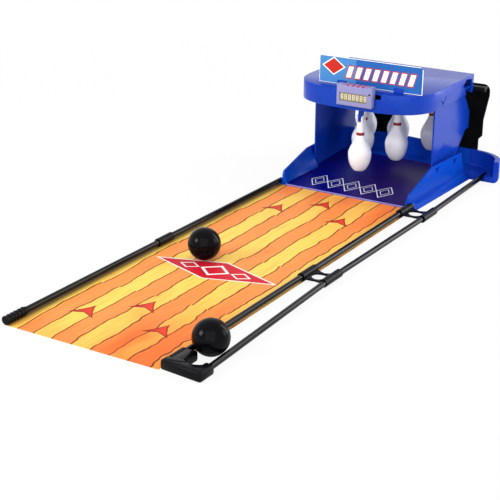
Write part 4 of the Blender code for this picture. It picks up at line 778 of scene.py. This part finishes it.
@dataclass
class Lane:
    """The mat and both rails with their sleeves."""

    shop: Workshop
    fitting_ease: float = 0.0003
    tubes: Sequence[str] = (
        "left_rail_front_tube",
        "left_rail_rear_tube",
        "inner_rail_front_tube",
        "inner_rail_rear_tube",
        "outer_rail_front_tube",
        "outer_rail_middle_tube",
        "outer_rail_rear_tube",
    )
    fittings: Sequence[str] = (
        "left_rail_coupler",
        "left_rail_end_sleeve",
        "near_spacer",
        "far_spacer",
        "end_stop",
    )

    def dress(self) -> None:
        """Prints the mat and finishes the rails."""
        self.shop.paint("lane_mat", LanePrint().material())
        tube = TUBE.material()
        for node in self.tubes:
            self.shop.refine(node, tube, 0.0)
        fitting = FITTING.material()
        for node in self.fittings:
            self.shop.refine(node, fitting, self.fitting_ease)


@dataclass
class Balls:
    """The two balls."""

    shop: Workshop
    segments: int = 64
    rings: int = 40

    def dress(self) -> None:
        """Makes each ball round, at the place and size of its node."""
        resin = BALL.material()
        for node in ("ball_1", "ball_2"):
            low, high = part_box(node)
            shape = bmesh.new()
            radius = (high.z - low.z) / 2
            bmesh.ops.create_uvsphere(shape, u_segments=self.segments, v_segments=self.rings, radius=radius)
            bmesh.ops.translate(shape, vec=(low + high) / 2, verts=shape.verts)
            settle(shape)
            self.shop.stand_in(self.shop.new_piece(node + "_round", shape), node, resin)


@dataclass
class Pins:
    """The six hanging pins: a turned body and a forked top on a wire axle."""

    shop: Workshop
    count: int = 6
    sides: int = 56
    slot_drop: float = 0.0052
    fork_gap: float = 0.0068
    cheek_thickness: float = 0.0022
    cheek_radius: float = 0.0060
    cheek_overlap: float = 0.0005
    shoulder_radius: float = 0.0062
    shoulder_drop: float = 0.0110
    neck_radius: float = 0.0066
    neck_drop: float = 0.0240
    belly_radius: float = 0.01915
    belly_drop: float = 0.0590
    bottom_drop: float = 0.0865
    foot_radius: float = 0.0088
    steps: int = 24

    def profile(self) -> list[Pair]:
        """The body's section as (radius, height from the axle), from the top down."""
        points = [(self.shoulder_radius, -self.slot_drop), (self.shoulder_radius, -self.shoulder_drop)]
        for step in range(self.steps + 1):
            share = step / self.steps
            ease = share * share * (3.0 - 2.0 * share)
            drop = self.neck_drop + (self.belly_drop - self.neck_drop) * share
            points.append((self.neck_radius + (self.belly_radius - self.neck_radius) * ease, -drop))
        spread = math.sqrt(1.0 - (self.foot_radius / self.belly_radius) ** 2)
        for step in range(1, self.steps // 2 + 1):
            share = math.sin(math.radians(90.0 * step / (self.steps // 2)))
            drop = self.belly_drop + (self.bottom_drop - self.belly_drop) * share
            points.append((self.belly_radius * math.sqrt(1.0 - (spread * share) ** 2), -drop))
        return points

    def turned(self) -> bmesh.types.BMesh:
        """The body, turned from its section round the upright through the axle's middle, with closed ends."""
        shape = bmesh.new()
        ring = [shape.verts.new((radius, 0.0, height)) for radius, height in self.profile()]
        edges = [shape.edges.new(pair) for pair in zip(ring, ring[1:])]
        bmesh.ops.spin(
            shape,
            geom=ring + edges,
            cent=(0, 0, 0),
            axis=(0, 0, 1),
            angle=math.tau,
            steps=self.sides,
            use_merge=True,
        )
        rims = [edge for edge in shape.edges if edge.is_boundary]
        bmesh.ops.holes_fill(shape, edges=rims, sides=0)
        return shape

    def cheek(self, shape: bmesh.types.BMesh, sign: float) -> None:
        """Adds one side of the fork: a plate that is round over the axle and reaches down into the body."""
        turn = Matrix.Rotation(math.radians(90.0), 4, "Y")
        middle = sign * (self.fork_gap + self.cheek_thickness) / 2
        made = bmesh.ops.create_cone(
            shape,
            cap_ends=True,
            segments=self.sides,
            radius1=self.cheek_radius,
            radius2=self.cheek_radius,
            depth=self.cheek_thickness,
            matrix=Matrix.Translation((middle, 0, 0)) @ turn,
        )
        for vertex in made["verts"]:
            if vertex.co.z < 0.0:
                vertex.co.z = min(vertex.co.z, -self.slot_drop - self.cheek_overlap)

    def dress(self) -> None:
        """Builds each pin at its node's axle and finishes the axles."""
        white = PinFinish().material()
        wire = STEEL.material()
        joints = {joint["child"]: joint for joint in self.shop.frame["joints"]}
        for number in range(1, self.count + 1):
            node = "pin_" + str(number)
            axle = Vector(joints[self.shop.body_of[node]]["pos_m"])
            shape = self.turned()
            self.cheek(shape, -1.0)
            self.cheek(shape, 1.0)
            bmesh.ops.recalc_face_normals(shape, faces=shape.faces)
            bmesh.ops.translate(shape, vec=axle, verts=shape.verts)
            settle(shape)
            self.shop.stand_in(self.shop.new_piece(node + "_turned", shape), node, white)
            self.shop.paint("pin_axle_" + str(number), wire)


@dataclass
class House:
    """The deck, tray, walls, hood, carrier and backstop."""

    shop: Workshop
    moulding_ease: float = 0.0005
    rubber_ease: float = 0.0007

    def dress(self) -> None:
        """Finishes the blue mouldings and the backstop."""
        blue = BLUE.material()
        self.shop.refine("deck_tub", DeckPrint().material(), self.moulding_ease)
        for node in ("return_tray", "left_side_wall", "right_side_wall", "hood", "pin_carrier"):
            self.shop.refine(node, blue, self.moulding_ease)
        rubber = RUBBER.material()
        for node in ("backstop_flap_left", "backstop_flap_right"):
            self.shop.refine(node, rubber, self.rubber_ease)
        self.shop.refine("backstop_bar", FITTING.material(), 0.0)


@dataclass
class CounterAndSign:
    """The score counter with its digits, and the sign card in its clips."""

    shop: Workshop
    moulding_ease: float = 0.0003
    card_ease: float = 0.0002
    digits: int = 7
    digit_width: float = 0.0042
    digit_height: float = 0.0086
    stroke: float = 0.0011
    thickness: float = 0.0002
    lift: float = 0.00005

    def bar(self, shape: bmesh.types.BMesh, middle: Vector, width: float, height: float) -> None:
        """Adds one stroke of a digit."""
        made = bmesh.ops.create_cube(shape, size=1.0)
        bmesh.ops.scale(shape, vec=(width, self.thickness, height), verts=made["verts"])
        bmesh.ops.translate(shape, vec=middle, verts=made["verts"])

    def make_digits(self) -> bpy.types.Object:
        """Seven figures of seven strokes each, on the display's face."""
        low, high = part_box("counter_window")
        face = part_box("digit_display")[0].y - self.lift - self.thickness / 2
        pitch = (high.x - low.x) / self.digits
        shape = bmesh.new()
        half_w = (self.digit_width - self.stroke) / 2
        half_h = (self.digit_height - self.stroke) / 2
        for digit in range(self.digits):
            at = Vector((low.x + pitch * (digit + 0.5), face, (low.z + high.z) / 2))
            for level in (-half_h, 0.0, half_h):
                self.bar(shape, at + Vector((0, 0, level)), self.digit_width - self.stroke, self.stroke)
            for side in (-half_w, half_w):
                for level in (-half_h / 2, half_h / 2):
                    self.bar(shape, at + Vector((side, 0, level)), self.stroke, half_h)
        return self.shop.new_piece("display_digits", shape)

    def dress(self) -> None:
        """Finishes the counter, its digits, the card and its clips."""
        grey = CounterFinish().material()
        for node in ("counter_housing", "counter_back_cover"):
            self.shop.refine(node, grey, self.moulding_ease)
        self.shop.paint("counter_window", LENS.material())
        self.shop.paint("digit_display", DISPLAY.material())
        self.shop.paint("counter_board", BOARD.material())
        self.shop.paint("coin_cell", STEEL.material())
        self.shop.refine("reset_button", FITTING.material(), 0.0)
        self.shop.add_piece(self.make_digits(), "digit_display", Slot.DISPLAY, DIGIT.material())
        self.shop.refine("sign_card", SignPrint().material(), self.card_ease)
        blue = BLUE.material()
        for node in ("sign_clip_left", "sign_clip_right"):
            self.shop.refine(node, blue, self.moulding_ease)


@dataclass(frozen=True)
class Lamp:
    """A soft lamp that faces the game, with its width and its height."""

    name: str
    place: Triple
    size: Pair
    watts: float
    aim: Triple = (0.0, -0.15, 0.05)

    def build(self) -> None:
        """Hangs the lamp."""
        data = bpy.data.lights.new(self.name, "AREA")
        data.shape = "RECTANGLE"
        data.size, data.size_y = self.size
        data.energy = self.watts
        facing = (Vector(self.aim) - Vector(self.place)).to_track_quat("-Z", "Y")
        lamp = new_object(self.name, data)
        lamp.matrix_world = Matrix.Translation(self.place) @ facing.to_matrix().to_4x4()


@dataclass
class Studio:
    """The camera, the lamps, the pale floor and the white surroundings."""

    camera_at: Triple = (0.9071, -1.7769, 0.6674)
    azimuth: float = 31.5
    tilt: float = 69.0
    roll: float = 0.4
    lens: float = 92.9
    sensor: float = 36.0
    sight: Pair = (0.05, 50.0)
    lamps: Sequence[Lamp] = (
        Lamp("key", (-1.4, -2.3, 1.3), (0.9, 0.9), 38.0),
        Lamp("right_rear", (1.9, 1.0, 0.75), (1.1, 1.1), 12.0),
        Lamp("front_fill", (1.2, -2.6, 1.4), (3.0, 3.0), 36.0),
        Lamp("rail_strip", (0.95, 1.25, 0.70), (0.45, 1.6), 10.0),
    )
    floor_half: float = 6.0
    floor_drop: float = 0.0004
    floor_gloss: Gloss = Gloss(0.9)
    floor_cloud: Triple = (3.0, 3.0, 1.0)
    floor_dark: Colour = (0.90, 0.90, 0.90)
    floor_light: Colour = (0.92, 0.92, 0.92)
    floor_glow: float = 0.88
    glow_reach: Pair = (0.5, 1.6)
    world_light: float = 0.70

    def build(self) -> None:
        """Sets up the whole studio."""
        self.make_camera()
        self.make_floor()
        self.make_world()
        for lamp in self.lamps:
            lamp.build()
        bpy.context.scene.view_settings.view_transform = "Standard"

    def make_camera(self) -> None:
        """The photograph's camera."""
        data = bpy.data.cameras.new("photo_camera")
        data.lens = self.lens
        data.sensor_width = self.sensor
        data.clip_start, data.clip_end = self.sight
        turn = (
            Matrix.Rotation(math.radians(self.azimuth), 4, "Z")
            @ Matrix.Rotation(math.radians(self.tilt), 4, "X")
            @ Matrix.Rotation(math.radians(self.roll), 4, "Z")
        )
        camera = new_object("photo_camera", data)
        camera.matrix_world = Matrix.Translation(self.camera_at) @ turn
        bpy.context.scene.camera = camera

    def make_floor(self) -> None:
        """A wide pale floor just under the game, which the camera sees fade into plain white."""
        shape = bmesh.new()
        bmesh.ops.create_grid(shape, x_segments=1, y_segments=1, size=self.floor_half)
        bmesh.ops.translate(shape, vec=(0, 0, -self.floor_drop), verts=shape.verts)
        mesh = bpy.data.meshes.new("floor")
        shape.to_mesh(mesh)
        shape.free()
        floor = new_object("floor", mesh)

        drawing = Drawing("pale_floor", self.floor_gloss)
        cloud = drawing.noise(self.floor_cloud)
        material = drawing.finish(drawing.mix(cloud, self.floor_dark, self.floor_light))
        x, y, _ = drawing.place()
        far = drawing.maths("SQRT", x * x + y * y).fade(*self.glow_reach)
        seen = Signal(drawing, drawing.add("ShaderNodeLightPath").outputs["Is Camera Ray"])
        white = drawing.add("ShaderNodeEmission", {}, {"Strength": 1.0})
        sockets = {0: seen * (far * (1.0 - self.floor_glow) + self.floor_glow)}
        shown = drawing.add("ShaderNodeMixShader", {}, sockets)
        links = material.node_tree.links
        links.new(drawing.shader.outputs[0], shown.inputs[1])
        links.new(white.outputs[0], shown.inputs[2])
        links.new(shown.outputs[0], material.node_tree.nodes["Material Output"].inputs["Surface"])
        floor.data.materials.append(material)

    def make_world(self) -> None:
        """Soft white surroundings, which the camera and reflections see as plain white."""
        world = bpy.data.worlds.new("studio")
        bpy.context.scene.world = world
        world.use_nodes = True
        tree = world.node_tree
        background = tree.nodes["Background"]
        background.inputs["Color"].default_value = (1.0, 1.0, 1.0, 1.0)
        path = tree.nodes.new("ShaderNodeLightPath")
        seen = path.outputs["Is Camera Ray"]
        for ray in ("Is Transmission Ray", "Is Glossy Ray"):
            either = tree.nodes.new("ShaderNodeMath")
            either.operation = "MAXIMUM"
            tree.links.new(seen, either.inputs[0])
            tree.links.new(path.outputs[ray], either.inputs[1])
            seen = either.outputs[0]
        strength = tree.nodes.new("ShaderNodeMapRange")
        strength.inputs["To Min"].default_value = self.world_light
        strength.inputs["To Max"].default_value = 1.0
        tree.links.new(seen, strength.inputs["Value"])
        tree.links.new(strength.outputs["Result"], background.inputs["Strength"])


def main() -> None:
    """Loads the frame and dresses every part of the game."""
    logging.basicConfig(level=logging.INFO)
    for old in list(bpy.data.objects):
        bpy.data.objects.remove(old, do_unlink=True)
    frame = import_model()
    shop = Workshop(frame)
    Studio().build()
    for part in (Lane(shop), Balls(shop), Pins(shop), House(shop), CounterAndSign(shop)):
        part.dress()


if __name__ == "__main__":
    main()
